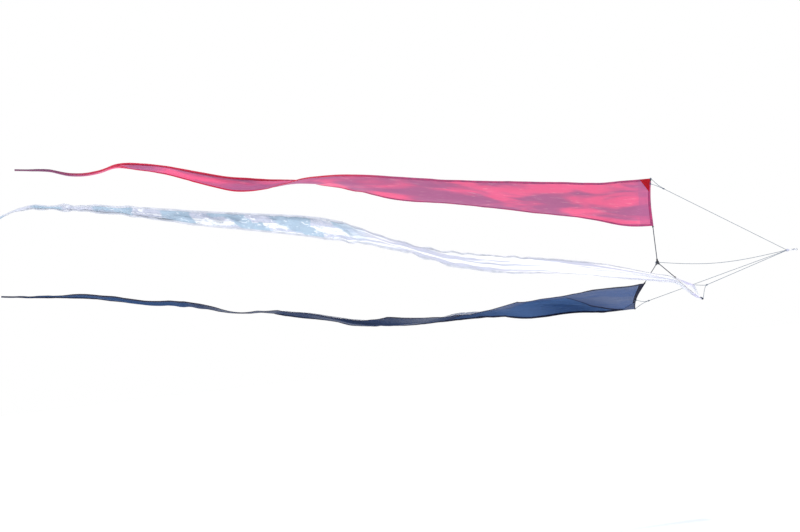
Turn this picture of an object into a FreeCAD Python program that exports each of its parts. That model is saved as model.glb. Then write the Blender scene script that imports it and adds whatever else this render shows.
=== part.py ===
"""Three-tailed line spinner: a hub, three rods, three long streamers, a four-line bridle and a swivel.

Millimetres. The origin is the centre of the swivel's front eye, where the towing line ties on.
+X points along the towing line, +Z along the red arm, and the streamers trail towards -X.
"""
import FreeCAD, Part
import math
import os

import Sketcher
from FreeCAD import Placement, Rotation, Vector

doc = FreeCAD.newDocument("line_spinner")

# ---------------------------------------------------------------- driving dimensions
SIZES = {
    "bridle_height": 772,      # hub centre to tow eye
    "arm_reach": 400,          # hub centre to rod tip
    "rod_diameter": 4,
    "straight_reach": 240,     # the rods are straight this far out, then sweep forward
    "tip_straight": 12,        # straight end of the rod inside its cap
    "red_tip_sweep": 20,
    "white_tip_sweep": 8,
    "blue_tip_sweep": 36,
    "hub_diameter": 18,
    "hub_thickness": 9.5,
    "hub_chamfer": 1.2,
    "collar_diameter": 8,
    "collar_reach": 17,
    "socket_floor": 4.5,
    "socket_clearance": 0.05,
    "centre_hole": 2.6,
    "cap_diameter": 7,
    "cap_groove_diameter": 5.6,
    "cap_length": 16,
    "cap_crown": 4,            # solid end of the cap beyond the rod
    "stop_diameter": 8,
    "stop_length": 6,
    "sleeve_start": 175,
    "sleeve_bore": 4.8,
    "sleeve_diameter": 6.4,
    "streamer_length": 3000,
    "mouth_width": 225,
    "tail_width": 14,
    "taper_power": 1.1,
    "belly": 0.05,             # sag of a cross-section, as a share of its width
    "cloth_thickness": 0.6,
    "hem_width": 8,
    "hem_share": 0.22,         # most that one hem may take of a narrow cross-section
    "seam_gap": 0.2,
    "patch_along_arm": 67,
    "patch_along_hem": 55,
    "patch_gap": 0.8,          # between the patch and the panel under it
    "cord_diameter": 2.2,
    "strand_spacing": 2.4,     # between the two strands of a yoke where they run together
    "knot_length": 10,
    "knot_diameter": 6,
    "head_knot_length": 17,
    "head_knot_diameter": 13,
    "head_knot_place": 52.5,   # behind the tow eye
    "leg_gather": 4,           # off the axis, where a bridle leg reaches the head knot
    "leg_gap": 0.8,
    "tie_gap": 0.9,            # between a yoke strand's end and the cap or sleeve that it is tied to
    "tie_inset": 2,            # of the outer strand's end from the tip of the arm
    "stopper_diameter": 6.5,
    "tow_eye_bore": 6,
    "tow_eye_diameter": 10.4,
    "tow_eye_thickness": 2.5,
    "barrel_diameter": 8.4,
    "barrel_front": 7,
    "barrel_back": 20.6,
    "cavity_diameter": 6.4,
    "cavity_front": 11.5,
    "cap_plate": 4,
    "shaft_diameter": 2.4,
    "shaft_clearance": 0.05,
    "flange_diameter": 5.8,
    "flange_thickness": 1.5,
    "ball_diameter": 1.5,
    "ball_play": 0.05,
    "ball_count": 7,
    "rear_eye_place": 29.5,
    "rear_eye_radius": 3.2,
    "rear_eye_wire": 1.8,
}
sheet = doc.addObject("Spreadsheet::Sheet", "sizes")
for row, (alias, number) in enumerate(SIZES.items(), start=1):
    sheet.set(f"A{row}", alias)
    sheet.set(f"B{row}", str(number))
    sheet.setAlias(f"B{row}", alias)
doc.recompute()


def size(alias):
    """A driving dimension, read back from the sheet."""
    return float(sheet.get(alias))


# Each arm points along its own local +Z, turned about the spin axis from the red arm's direction.
ARMS = {"red": 0, "white": 120, "blue": 240}

# Bridle yokes, in an arm's own plane: (forward of the hub, out from the spin axis).
# "rod" is how far out the inner strand is tied, "merge" where the strands meet, "knot" where the leg joins.
YOKES = {
    "red": {"rod": 374, "merge": (50, 366), "knot": (83, 347)},
    "white": {"rod": 243, "merge": (87, 281), "knot": (105, 273)},
    "blue": {"rod": 318, "merge": (62, 349), "knot": (89, 337)},
}

# The way each streamer flies: (behind the arms, y, z, roll of the cross-section in degrees from +Y).
COURSES = {
    "red": [
        (5, 0, 288, 90), (60, 0, 288, 95), (250, -15, 300, 126), (500, -30, 328, 133),
        (750, -30, 362, 139), (1000, -15, 397, 143), (1250, 10, 436, 138), (1400, 20, 467, 148),
        (1550, 25, 490, 163), (1690, 20, 500, 186), (1830, 5, 490, 218), (1970, -15, 498, 256),
        (2120, -30, 532, 247), (2270, -35, 576, 230), (2400, -25, 600, 226), (2465, -15, 610, 198),
        (2540, -5, 590, 181), (2640, 10, 587, 173), (2740, 15, 613, 172), (2870, 5, 624, 174),
    ],
    "white": [
        (5, -249, -144, 210), (35, -249, -130, 210), (90, -247, -99, 199), (190, -243, -74, 200),
        (340, -240, -44, 206), (630, -240, 7, 211), (930, -250, 47, 220), (1155, -262, 92, 218),
        (1360, -268, 162, 213), (1480, -266, 203, 223), (1620, -260, 243, 245), (1745, -252, 271, 260),
        (1985, -240, 311, 270), (2200, -238, 345, 288), (2395, -244, 380, 306), (2590, -254, 408, 314),
        (2720, -258, 420, 322), (2890, -255, 421, 335), (2970, -248, 388, 336),
    ],
    "blue": [
        (5, 249, -144, 330), (60, 249, -144, 330), (280, 252, -133, 319), (440, 255, -132, 321),
        (680, 262, -137, 341), (910, 268, -143, 352), (1136, 268, -154, 350), (1282, 262, -146, 345),
        (1426, 252, -130, 350), (1565, 242, -94, 356), (1702, 236, -62, 352), (1839, 236, -41, 358),
        (1974, 242, -32, 359), (2105, 252, 3, 352), (2234, 260, 31, 346), (2364, 262, 47, 346),
        (2490, 258, 76, 338), (2614, 250, 101, 336), (2738, 245, 112, 343), (2962, 250, 131, 350),
    ],
}
PANEL_STRIPS = 4

# The slack centre line, from the front of the hub to the head knot: (x, z).
CENTRE_LINE = [
    (-767, 0), (-720, -6.5), (-660, -14.5), (-600, -21), (-540, -26), (-480, -29), (-420, -29.5),
    (-360, -28), (-300, -24.5), (-240, -19.5), (-180, -13.5), (-120, -7), (-60, 0),
]

ROUND = 2 * math.pi
CORD_RADIUS = size("cord_diameter") / 2
HUB_PLACE = Vector(-size("bridle_height"), 0, 0)


# ---------------------------------------------------------------- helpers for bodies and sketches
def new_body(label):
    body = doc.addObject("PartDesign::Body", label)
    body.Label = label
    return body


def sketch_on(body, role, name, offset=None):
    """A sketch on one of the body's own origin planes; offset is an expression along its normal."""
    sketch = body.newObject("Sketcher::SketchObject", name)
    plane = [f for f in body.Origin.OriginFeatures if f.Role == role][0]
    sketch.AttachmentSupport = [(plane, "")]
    sketch.MapMode = "FlatFace"
    if offset:
        sketch.setExpression("AttachmentOffset.Base.z", offset)
    return sketch


def circle(sketch, radius, centre_x=None):
    """A circle on the sketch's horizontal axis, its radius bound to the sheet."""
    number = sketch.addGeometry(Part.Circle(Vector(0, 0, 0), Vector(0, 0, 1), 1), False)
    name = f"radius_{number}"
    sketch.renameConstraint(sketch.addConstraint(Sketcher.Constraint("Radius", number, 1)), name)
    sketch.setExpression(f"Constraints.{name}", radius)
    if centre_x is None:
        sketch.addConstraint(Sketcher.Constraint("Coincident", number, 3, -1, 1))
    else:
        sketch.addConstraint(Sketcher.Constraint("PointOnObject", number, 3, -1))
        name = f"place_{number}"
        across = sketch.addConstraint(Sketcher.Constraint("DistanceX", -1, 1, number, 3, 1))
        sketch.renameConstraint(across, name)
        sketch.setExpression(f"Constraints.{name}", centre_x)
    return number


def outline(sketch, corners):
    """A closed outline of straight lines; each corner is a pair of expressions or numbers."""
    lines = len(corners)
    first = sketch.GeometryCount
    turns = [ROUND * k / lines for k in range(lines)]
    guess = [Vector(math.cos(turn) - 5, math.sin(turn) + 5, 0) for turn in turns]
    for k in range(lines):
        sketch.addGeometry(Part.LineSegment(guess[k], guess[(k + 1) % lines]), False)
    for k in range(lines):
        following = first + (k + 1) % lines
        sketch.addConstraint(Sketcher.Constraint("Coincident", first + k, 2, following, 1))
    for k, corner in enumerate(corners):
        for kind, value in zip(("DistanceX", "DistanceY"), corner):
            number = sketch.addConstraint(Sketcher.Constraint(kind, -1, 1, first + k, 1, 1))
            name = f"{kind.lower()}_{k}"
            sketch.renameConstraint(number, name)
            sketch.setExpression(f"Constraints.{name}", str(value))


def pad(body, sketch, length, midplane=False):
    feature = body.newObject("PartDesign::Pad", sketch.Name + "_pad")
    feature.Profile = sketch
    feature.setExpression("Length", length)
    feature.Midplane = midplane
    return feature


def pocket(body, sketch, length, midplane=False, outward=False):
    feature = body.newObject("PartDesign::Pocket", sketch.Name + "_pocket")
    feature.Profile = sketch
    feature.setExpression("Length", length)
    feature.Midplane = midplane
    feature.Reversed = outward
    return feature


def about_x(body, sketch, kind="PartDesign::Revolution"):
    feature = body.newObject(kind, sketch.Name + "_turned")
    feature.Profile = sketch
    feature.ReferenceAxis = (sketch, ["H_Axis"])
    feature.Angle = 360
    return feature


def threefold(body, features):
    """Repeats features three times about the body's X axis."""
    axis = [f for f in body.Origin.OriginFeatures if f.Role == "X_Axis"][0]
    pattern = body.newObject("PartDesign::PolarPattern", features[0].Name + "_pattern")
    pattern.Originals = features
    pattern.Axis = (axis, [""])
    pattern.Angle = 360
    pattern.Occurrences = len(ARMS)
    body.Tip = pattern
    return pattern


def arm_placement(colour):
    return Placement(HUB_PLACE, Rotation(Vector(1, 0, 0), ARMS[colour]))


def plain_part(label, shape, placement=None):
    """A sub-part whose shape is made with Part's own functions."""
    feature = doc.addObject("Part::Feature", label)
    feature.Label = label
    feature.Shape = shape
    feature.Placement = placement or Placement()
    return feature


# ---------------------------------------------------------------- the curve of a rod
def rod_bend(colour):
    """The end of the bend out from the hub, the lean of the rod there, and the bend's radius."""
    reach = size("arm_reach") - size("tip_straight")
    rise = reach - size("straight_reach")
    sweep = size(f"{colour}_tip_sweep") / (1 + 2 * size("tip_straight") / rise)
    lean = 2 * math.atan2(sweep, rise)
    return reach, lean, rise / math.sin(lean)


def rod_path(colour, start, stop):
    """Edges of a rod's centre line in its arm's plane, from start to stop out from the hub."""
    straight = size("straight_reach")
    reach, lean, bend = rod_bend(colour)
    centre = Vector(bend, 0, straight)

    def on_arc(turn):
        return centre + Vector(-bend * math.cos(turn), 0, bend * math.sin(turn))

    edges = [Part.LineSegment(Vector(0, 0, start), Vector(0, 0, straight))]
    last = math.asin((min(stop, reach) - straight) / bend)
    edges.append(Part.Arc(on_arc(0), on_arc(last / 2), on_arc(last)))
    if stop > reach:
        ahead = Vector(math.sin(lean), 0, math.cos(lean))
        edges.append(Part.LineSegment(on_arc(lean), on_arc(lean) + ahead * (stop - reach)))
    return edges


def rod_forward(colour, out):
    """How far forward the rod's centre line lies at a distance out from the hub."""
    straight = size("straight_reach")
    reach, lean, bend = rod_bend(colour)
    bent = min(max(out - straight, 0), reach - straight)
    return bend - math.sqrt(bend ** 2 - bent ** 2) + max(out - reach, 0) * math.tan(lean)


def rod_tip(colour):
    """The rod's last point and the direction that it ends in."""
    last = rod_path(colour, size("socket_floor"), size("arm_reach"))[-1]
    ahead = (last.EndPoint - last.StartPoint).normalize()
    return last.EndPoint, ahead


def pipe_body(label, colour, start, stop, radii):
    """A body swept along the rod's curve: radii is (outer,) or (outer, bore), as expressions."""
    body = new_body(label)
    path = sketch_on(body, "XZ_Plane", label + "_path")
    for edge in rod_path(colour, start, stop):
        flat = edge.copy()
        flat.rotate(Placement(Vector(), Rotation(Vector(1, 0, 0), -90)))
        path.addGeometry(flat, False)
    ring = sketch_on(body, "XY_Plane", label + "_section", str(start))
    for radius in radii:
        circle(ring, radius)
    doc.recompute()
    pipe = body.newObject("PartDesign::AdditivePipe", label + "_pipe")
    pipe.Profile = ring
    pipe.Spine = path
    body.Placement = arm_placement(colour)
    return body


# ---------------------------------------------------------------- hub and arms
def make_hub():
    body = new_body("hub")
    disc = sketch_on(body, "XY_Plane", "hub_disc")
    half, rim, edge = "sizes.hub_thickness / 2", "sizes.hub_diameter / 2", "sizes.hub_chamfer"
    outline(disc, [
        (f"-{half}", "0"), (f"-{half}", f"{rim} - {edge}"), (f"-{half} + {edge}", rim),
        (f"{half} - {edge}", rim), (half, f"{rim} - {edge}"), (half, "0"),
    ])
    about_x(body, disc)
    collar = sketch_on(body, "XY_Plane", "hub_collar")
    circle(collar, "sizes.collar_diameter / 2")
    collar_pad = pad(body, collar, "sizes.collar_reach")
    doc.recompute()
    threefold(body, [collar_pad])
    doc.recompute()
    socket = sketch_on(body, "XY_Plane", "hub_socket", "sizes.socket_floor")
    circle(socket, "sizes.rod_diameter / 2 + sizes.socket_clearance")
    socket_cut = pocket(body, socket, "sizes.collar_reach", outward=True)
    doc.recompute()
    threefold(body, [socket_cut])
    doc.recompute()
    hole = sketch_on(body, "YZ_Plane", "hub_hole")
    circle(hole, "sizes.centre_hole / 2")
    pocket(body, hole, "2 * sizes.hub_thickness", midplane=True)
    doc.recompute()
    body.Placement = Placement(HUB_PLACE, Rotation())
    return body


def make_rod(colour):
    return pipe_body(
        f"{colour}_rod", colour, size("socket_floor"), size("arm_reach"), ["sizes.rod_diameter / 2"]
    )


def make_sleeve(colour):
    clear_of_cap = size("arm_reach") - size("cap_length") + size("cap_crown") - 1
    return pipe_body(
        f"{colour}_sleeve", colour, size("sleeve_start"), clear_of_cap,
        ["sizes.sleeve_diameter / 2", "sizes.sleeve_bore / 2"],
    )


def make_stop(colour):
    """The vinyl ring that keeps the streamer from sliding in along the rod."""
    body = new_body(f"{colour}_stop")
    offset = "sizes.sleeve_start - sizes.stop_length - 1"
    ring = sketch_on(body, "XY_Plane", body.Label + "_ring", offset)
    circle(ring, "sizes.stop_diameter / 2")
    circle(ring, "sizes.rod_diameter / 2")
    pad(body, ring, "sizes.stop_length")
    body.Placement = arm_placement(colour)
    return body


def make_tip_cap(colour):
    """The moulded end cap, turned about its own X axis, with a groove that holds the yoke."""
    body = new_body(f"{colour}_tip_cap")
    profile = sketch_on(body, "XY_Plane", body.Label + "_profile")
    back = "sizes.cap_crown - sizes.cap_length"
    outline(profile, [
        (back, "sizes.rod_diameter / 2"), (back, "sizes.cap_diameter / 2"),
        ("-4", "sizes.cap_diameter / 2"), ("-3", "sizes.cap_groove_diameter / 2"),
        ("-1", "sizes.cap_groove_diameter / 2"), ("0", "sizes.cap_diameter / 2"),
        ("sizes.cap_crown - 1.5", "sizes.cap_diameter / 2"), ("sizes.cap_crown", "sizes.cap_diameter / 4"),
        ("sizes.cap_crown", "0"), ("0", "0"), ("0", "sizes.rod_diameter / 2"),
    ])
    about_x(body, profile)
    tip, ahead = rod_tip(colour)
    local = Placement(tip, Rotation(Vector(1, 0, 0), ahead))
    body.Placement = arm_placement(colour).multiply(local)
    return body


# ---------------------------------------------------------------- streamers
def cut_width(behind):
    """The width that the cloth was cut to, at a distance behind the arm."""
    left = max(0.0, 1 - behind / size("streamer_length"))
    return size("tail_width") + (size("mouth_width") - size("tail_width")) * left ** size("taper_power")


def cross_section(colour, station, low, high, strips):
    """Points across a streamer at a station; low and high run from -0.5 (inner) to 0.5 (outer edge)."""
    behind, y, z, roll = station
    width = cut_width(behind)
    across = Vector(0, math.cos(math.radians(roll)), math.sin(math.radians(roll)))
    normal = across.cross(Vector(1, 0, 0))
    centre = Vector(-size("bridle_height") - behind, y, z)
    at_mouth = behind <= COURSES[colour][1][0]
    points = []
    for k in range(strips + 1):
        share = low + (high - low) * k / strips
        sag = 0 if at_mouth else size("belly") * width * (1 - 4 * min(abs(share), 0.5) ** 2)
        point = centre + across * (share * width) + normal * sag
        if behind == COURSES[colour][0][0]:
            point.x += rod_forward(colour, math.hypot(point.y, point.z))
        points.append(point)
    return points, normal


def ribbon(sections, thickness):
    """A closed solid of flat triangles around rows of points, half the thickness each side."""
    faces = []

    def triangle(a, b, c):
        faces.append(Part.Face(Part.makePolygon([a, b, c, a])))

    def panel(a, b, c, d):
        triangle(a, b, c)
        triangle(a, c, d)

    fronts = [[p + normal * (thickness / 2) for p in points] for points, normal in sections]
    backs = [[p - normal * (thickness / 2) for p in points] for points, normal in sections]
    for side in (fronts, backs):
        for near, far in zip(side, side[1:]):
            for k in range(len(near) - 1):
                panel(near[k], near[k + 1], far[k + 1], far[k])
    for k in (0, -1):
        for n in range(len(sections) - 1):
            panel(fronts[n][k], fronts[n + 1][k], backs[n + 1][k], backs[n][k])
    for end in (0, -1):
        for k in range(len(fronts[end]) - 1):
            panel(fronts[end][k], fronts[end][k + 1], backs[end][k + 1], backs[end][k])
    shell = Part.makeShell(faces)
    shell.sewShape()
    solid = Part.Solid(shell if shell.ShapeType == "Shell" else shell.Shells[0])
    if solid.Volume < 0:
        solid.reverse()
    return solid


def hem_share(behind):
    return min(size("hem_width") / cut_width(behind), size("hem_share"))


def make_panel(colour):
    sections = []
    for station in COURSES[colour]:
        edge = 0.5 - hem_share(station[0]) - size("seam_gap") / cut_width(station[0])
        sections.append(cross_section(colour, station, -edge, edge, PANEL_STRIPS))
    return plain_part(f"{colour}_panel", ribbon(sections, size("cloth_thickness")))


def make_hem(colour, side, name):
    """A folded hem along one long edge; side is 1 for the outer edge and -1 for the inner one."""
    sections = []
    for station in COURSES[colour]:
        shares = sorted([side * 0.5, side * (0.5 - hem_share(station[0]))])
        sections.append(cross_section(colour, station, shares[0], shares[1], 1))
    return plain_part(f"{colour}_{name}_hem", ribbon(sections, 1.5 * size("cloth_thickness")))


def make_patch(colour):
    """The triangular reinforcement laid on the outer front corner of a panel."""
    first, second = COURSES[colour][:2]
    front, normal = cross_section(colour, first, 0, 0.5 - hem_share(first[0]) - 0.005, PANEL_STRIPS)
    rear, _ = cross_section(colour, second, 0, 0.5 - hem_share(second[0]) - 0.005, PANEL_STRIPS)
    lift = normal * (size("cloth_thickness") / 2 + size("patch_gap"))
    corner = front[-1]
    inward = (front[-2] - corner).normalize() * size("patch_along_arm")
    along = (rear[-1] - corner).normalize() * min(size("patch_along_hem"), (rear[-1] - corner).Length)
    corners = [p + lift for p in (corner, corner + inward, corner + along)]
    face = Part.Face(Part.makePolygon(corners + corners[:1]))
    return plain_part(f"{colour}_corner_patch", face.extrude(normal * size("cloth_thickness")))


# ---------------------------------------------------------------- cords and knots
def cord(label, route, placement=None):
    """A tube along straight runs joined by tangent arcs, as large as their runs allow."""
    edges, start, radii = [], route[0], []
    for before, corner, after in zip(route, route[1:], route[2:]):
        into, out = (corner - before), (after - corner)
        turn = into.getAngle(out)
        run = min(into.Length, out.Length)
        radius = 0.45 * run / math.tan(turn / 2)
        reach = radius * math.tan(turn / 2)
        into.normalize()
        out.normalize()
        begin, end = corner - into * reach, corner + out * reach
        middle_out = (out - into).normalize()
        centre = corner + middle_out * (radius / math.cos(turn / 2))
        middle = centre - middle_out * radius
        edges += [Part.LineSegment(start, begin).toShape(), Part.Arc(begin, middle, end).toShape()]
        start = end
        radii.append(radius)
    edges.append(Part.LineSegment(start, route[-1]).toShape())
    path = Part.Wire(edges)
    section = Part.Wire(Part.makeCircle(CORD_RADIUS, route[0], route[1] - route[0]))
    tube = path.makePipeShell([section], True, False)
    ideal = math.pi * CORD_RADIUS ** 2 * path.Length
    print(
        f"{label}: {path.Length:.0f} mm long, volume {tube.Volume / ideal:.4f} of section x length,",
        "radii", [round(r) for r in radii],
    )
    return plain_part(label, tube, placement)


def in_plane(points):
    return [Vector(forward, 0, out) for forward, out in points]


def make_yoke(colour):
    """The two strands that join an arm to its bridle leg, side by side from where they meet."""
    yoke = YOKES[colour]
    tip, _ = rod_tip(colour)
    clear = size("cap_diameter") / 2 + size("tie_gap")
    merge, knot = in_plane([yoke["merge"], yoke["knot"]])
    run = (knot - merge).normalize()
    beside = Vector(-run.z, 0, run.x) * (size("strand_spacing") / 2)
    short = run * (size("knot_length") / 2 - 1)
    beside_sleeve = rod_forward(colour, yoke["rod"]) + size("sleeve_diameter") / 2 + size("tie_gap")
    starts = {
        "outer": Vector(tip.x + clear, 0, tip.z - size("tie_inset")),
        "inner": Vector(beside_sleeve, 0, yoke["rod"]),
    }
    sides = {"outer": beside, "inner": beside * -1}
    for name, start in starts.items():
        route = [start, merge + sides[name], knot - short + sides[name]]
        cord(f"{colour}_yoke_{name}", route, arm_placement(colour))


def make_leg(colour):
    """The taut bridle leg, from the yoke's knot to just short of the head knot."""
    knot = Vector(YOKES[colour]["knot"][0], 0, YOKES[colour]["knot"][1])
    back_of_head = size("head_knot_place") + size("head_knot_length") / 2 + size("leg_gap")
    head = Vector(size("bridle_height") - back_of_head, 0, size("leg_gather"))
    run = (head - knot).normalize()
    cord(f"{colour}_leg", [knot + run * (size("knot_length") / 2 - 1), head], arm_placement(colour))
    return run


def knot(label, centre, direction, length, diameter, placement=None):
    """A pulled-tight knot: an ellipsoid whose long half-axis lies along the cord."""
    solid = doc.addObject("Part::Ellipsoid", label)
    solid.Label = label
    solid.setExpression("Radius1", f"sizes.{length} / 2")
    solid.setExpression("Radius2", f"sizes.{diameter} / 2")
    solid.setExpression("Radius3", f"sizes.{diameter} / 2")
    local = Placement(centre, Rotation(Vector(0, 0, 1), direction))
    solid.Placement = placement.multiply(local) if placement else local
    return solid


def make_head():
    """The head knot, the loop from it through the swivel's rear eye, and the stopper behind the hub."""
    centre = Vector(-size("head_knot_place"), 0, 0)
    knot("head_knot", centre, Vector(1, 0, 0), "head_knot_length", "head_knot_diameter")
    behind_hub = HUB_PLACE - Vector(size("hub_thickness") / 2 + size("stopper_diameter") / 2 + 0.1, 0, 0)
    knot("stopper_knot", behind_hub, Vector(1, 0, 0), "stopper_diameter", "stopper_diameter")
    wire = Vector(-size("rear_eye_place") - size("rear_eye_radius"), 0, 0)
    bend = size("rear_eye_wire") / 2 + CORD_RADIUS + 0.05
    start = Vector(-45, bend, 0)
    mirrored = Vector(-45, -bend, 0)
    up, down = wire + Vector(0, bend, 0), wire - Vector(0, bend, 0)
    path = Part.Wire([
        Part.LineSegment(start, up).toShape(),
        Part.Arc(up, wire + Vector(bend, 0, 0), down).toShape(),
        Part.LineSegment(down, mirrored).toShape(),
    ])
    section = Part.Wire(Part.makeCircle(CORD_RADIUS, start, Vector(1, 0, 0)))
    plain_part("head_loop", path.makePipeShell([section], True, False))
    cord("centre_line", [Vector(x, 0, z) for x, z in CENTRE_LINE])


# ---------------------------------------------------------------- swivel
def make_swivel_body():
    """The barrel and the flat tow eye, one casting, bored out from the back for the bearing."""
    body = new_body("swivel_body")
    barrel = sketch_on(body, "XY_Plane", "swivel_barrel")
    outer, neck = "sizes.barrel_diameter / 2", "1.9"
    outline(barrel, [
        ("-sizes.barrel_back", "0"), ("-sizes.barrel_back", outer),
        ("-sizes.barrel_front - 1.5", outer), ("-sizes.barrel_front", neck),
        ("-sizes.tow_eye_diameter / 2 + 1", neck), ("-sizes.tow_eye_diameter / 2 + 1", "0"),
    ])
    about_x(body, barrel)
    eye = sketch_on(body, "XZ_Plane", "tow_eye")
    circle(eye, "sizes.tow_eye_diameter / 2")
    pad(body, eye, "sizes.tow_eye_thickness", midplane=True)
    bore = sketch_on(body, "XZ_Plane", "tow_eye_bore_sketch")
    circle(bore, "sizes.tow_eye_bore / 2")
    pocket(body, bore, "2 * sizes.tow_eye_thickness", midplane=True)
    cavity = sketch_on(body, "XY_Plane", "swivel_cavity")
    wall = "sizes.cavity_diameter / 2"
    outline(cavity, [
        ("-sizes.barrel_back - 1", "0"), ("-sizes.barrel_back - 1", wall),
        ("-sizes.cavity_front", wall), ("-sizes.cavity_front", "0"),
    ])
    about_x(body, cavity, "PartDesign::Groove")
    return body


def make_swivel_cap():
    """The ring pressed into the back of the barrel, which holds the balls in."""
    body = new_body("swivel_cap")
    ring = sketch_on(body, "YZ_Plane", "swivel_cap_ring", "-sizes.barrel_back")
    circle(ring, "sizes.cavity_diameter / 2")
    circle(ring, "sizes.shaft_diameter / 2 + sizes.shaft_clearance")
    pad(body, ring, "sizes.cap_plate")
    return body


def make_swivel_shaft():
    """The turning half: a flange inside the barrel, a shaft through the cap and the rear eye."""
    body = new_body("swivel_shaft")
    shaft = sketch_on(body, "XY_Plane", "swivel_shaft_profile")
    thin, wide = "sizes.shaft_diameter / 2", "sizes.flange_diameter / 2"
    back = "-sizes.barrel_back + sizes.cap_plate + sizes.ball_diameter + 2 * sizes.ball_play"
    front = back + " + sizes.flange_thickness"
    eye_front = "-sizes.rear_eye_place + sizes.rear_eye_radius - 0.4"
    outline(shaft, [
        (eye_front, "0"), (eye_front, thin), (back, thin), (back, wide), (front, wide), (front, "0"),
    ])
    about_x(body, shaft)
    eye = sketch_on(body, "XY_Plane", "rear_eye_section")
    circle(eye, "sizes.rear_eye_wire / 2", "sizes.rear_eye_radius")
    eye.setExpression("AttachmentOffset.Base.x", "-sizes.rear_eye_place")
    ring = body.newObject("PartDesign::Revolution", "rear_eye_ring")
    ring.Profile = eye
    ring.ReferenceAxis = (eye, ["V_Axis"])
    ring.Angle = 360
    return body


def make_swivel_balls():
    """The bearing balls, one group, spaced evenly round the shaft."""
    place = -size("barrel_back") + size("cap_plate") + size("ball_play") + size("ball_diameter") / 2
    inner, outer = size("shaft_diameter"), size("cavity_diameter")
    pitch = (inner + outer) / 4
    count = int(size("ball_count"))
    balls = []
    for k in range(count):
        turn = ROUND * k / count
        centre = Vector(place, pitch * math.cos(turn), pitch * math.sin(turn))
        balls.append(Part.makeSphere(size("ball_diameter") / 2, centre))
    return plain_part("swivel_balls", Part.makeCompound(balls))


# ---------------------------------------------------------------- assembly
make_swivel_body()
make_swivel_cap()
make_swivel_shaft()
make_swivel_balls()
make_head()
make_hub()
for arm in ARMS:
    make_rod(arm)
    make_stop(arm)
    make_sleeve(arm)
    make_tip_cap(arm)
    make_yoke(arm)
    leg_run = make_leg(arm)
    at = Vector(YOKES[arm]["knot"][0], 0, YOKES[arm]["knot"][1])
    knot(f"{arm}_yoke_knot", at, leg_run, "knot_length", "knot_diameter", arm_placement(arm))
    make_panel(arm)
    make_hem(arm, 1, "outer")
    make_hem(arm, -1, "inner")
    make_patch(arm)
doc.recompute()

KINDS = ("PartDesign::Body", "Part::Feature", "Part::Ellipsoid")
sub_parts = [item for item in doc.Objects if item.TypeId in KINDS]
for item in doc.Objects:
    if {"Invalid", "Error"} & set(item.State):
        raise RuntimeError(f"{item.Label} did not compute: {item.State}")
for item in sub_parts:
    if item.Shape.isNull() or not item.Shape.isValid() or item.Shape.Volume <= 0:
        raise RuntimeError(f"{item.Label} has no valid solid")

os.makedirs("parts", exist_ok=True)
for item in sub_parts:
    item.Shape.exportStep(f"parts/{item.Label}.step")
    print(f"{item.Label}: {len(item.Shape.Solids)} solid, {item.Shape.Volume:.1f} mm3")
print(len(sub_parts), "sub-parts")
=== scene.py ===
# %% [markdown]
# A three-tailed line spinner: a hub with three rods, a long cloth streamer behind each rod, a bridle of
# four cords and a swivel. The imported CAD model is loaded first, as a fixed frame. Everything soft is then
# made around it, in metres, and the sleeves and most of the cords are parented to an empty named for the
# body that they belong to.

# %% Load the frame
import math

import bpy
import numpy as np
from mathutils import Matrix, Vector, noise


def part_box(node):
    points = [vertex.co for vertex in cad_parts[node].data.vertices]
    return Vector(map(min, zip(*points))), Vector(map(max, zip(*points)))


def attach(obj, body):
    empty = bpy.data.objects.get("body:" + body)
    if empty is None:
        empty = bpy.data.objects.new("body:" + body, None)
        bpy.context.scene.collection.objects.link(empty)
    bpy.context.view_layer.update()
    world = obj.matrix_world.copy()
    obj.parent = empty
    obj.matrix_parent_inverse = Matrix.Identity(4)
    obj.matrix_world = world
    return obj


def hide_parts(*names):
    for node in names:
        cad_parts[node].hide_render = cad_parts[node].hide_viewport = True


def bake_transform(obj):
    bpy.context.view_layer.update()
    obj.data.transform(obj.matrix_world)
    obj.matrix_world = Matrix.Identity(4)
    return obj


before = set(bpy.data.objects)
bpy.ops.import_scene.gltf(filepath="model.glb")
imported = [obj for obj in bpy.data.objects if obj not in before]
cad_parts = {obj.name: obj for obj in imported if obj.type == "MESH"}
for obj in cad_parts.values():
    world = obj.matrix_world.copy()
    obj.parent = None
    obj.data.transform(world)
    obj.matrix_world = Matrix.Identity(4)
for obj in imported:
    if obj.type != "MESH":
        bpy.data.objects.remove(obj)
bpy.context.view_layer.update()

# %% [markdown]
# These few sizes are the ones that the CAD model was drawn from. They can be read off the frame: the
# hub's box gives the bridle's height, and a rod's box gives the reach of an arm. The rest are the cut of
# the cloth.

# %% Sizes
hub_low, hub_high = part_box("hub")
BRIDLE_HEIGHT = -(hub_low.x + hub_high.x) / 2
ARM_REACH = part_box("red_rod")[1].z
STRAIGHT_REACH = 0.240
TIP_STRAIGHT = 0.012
TIP_SWEEP = {"red": 0.020, "white": 0.008, "blue": 0.036}
ARM_TURN = {"red": 0.0, "white": math.radians(120), "blue": math.radians(240)}
SLEEVE_START, SLEEVE_END = 0.175, 0.386
STREAMER_LENGTH, MOUTH_WIDTH, TAIL_WIDTH, TAPER_POWER = 3.0, 0.225, 0.014, 1.1
HEM_WIDTH, HEM_SHARE = 0.008, 0.22
CLOTH_THICKNESS = 0.0004
CORD_DIAMETER = 0.0022
print(f"bridle {BRIDLE_HEIGHT:.3f} m, arms {ARM_REACH:.3f} m")

# %% [markdown]
# The camera is set by where it stands and by three angles: its azimuth and elevation, and a roll, because
# the spinner is seen a little tilted. The three columns of its matrix are its right, its up and its back.

# %% Camera
CAMERA_PLACE = Vector((-3.835, -5.454, -0.304))
CAMERA_AZIMUTH, CAMERA_ELEVATION, CAMERA_ROLL = (math.radians(a) for a in (-18.16, -3.95, -6.43))
CAMERA_LENS = 58.5

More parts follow.
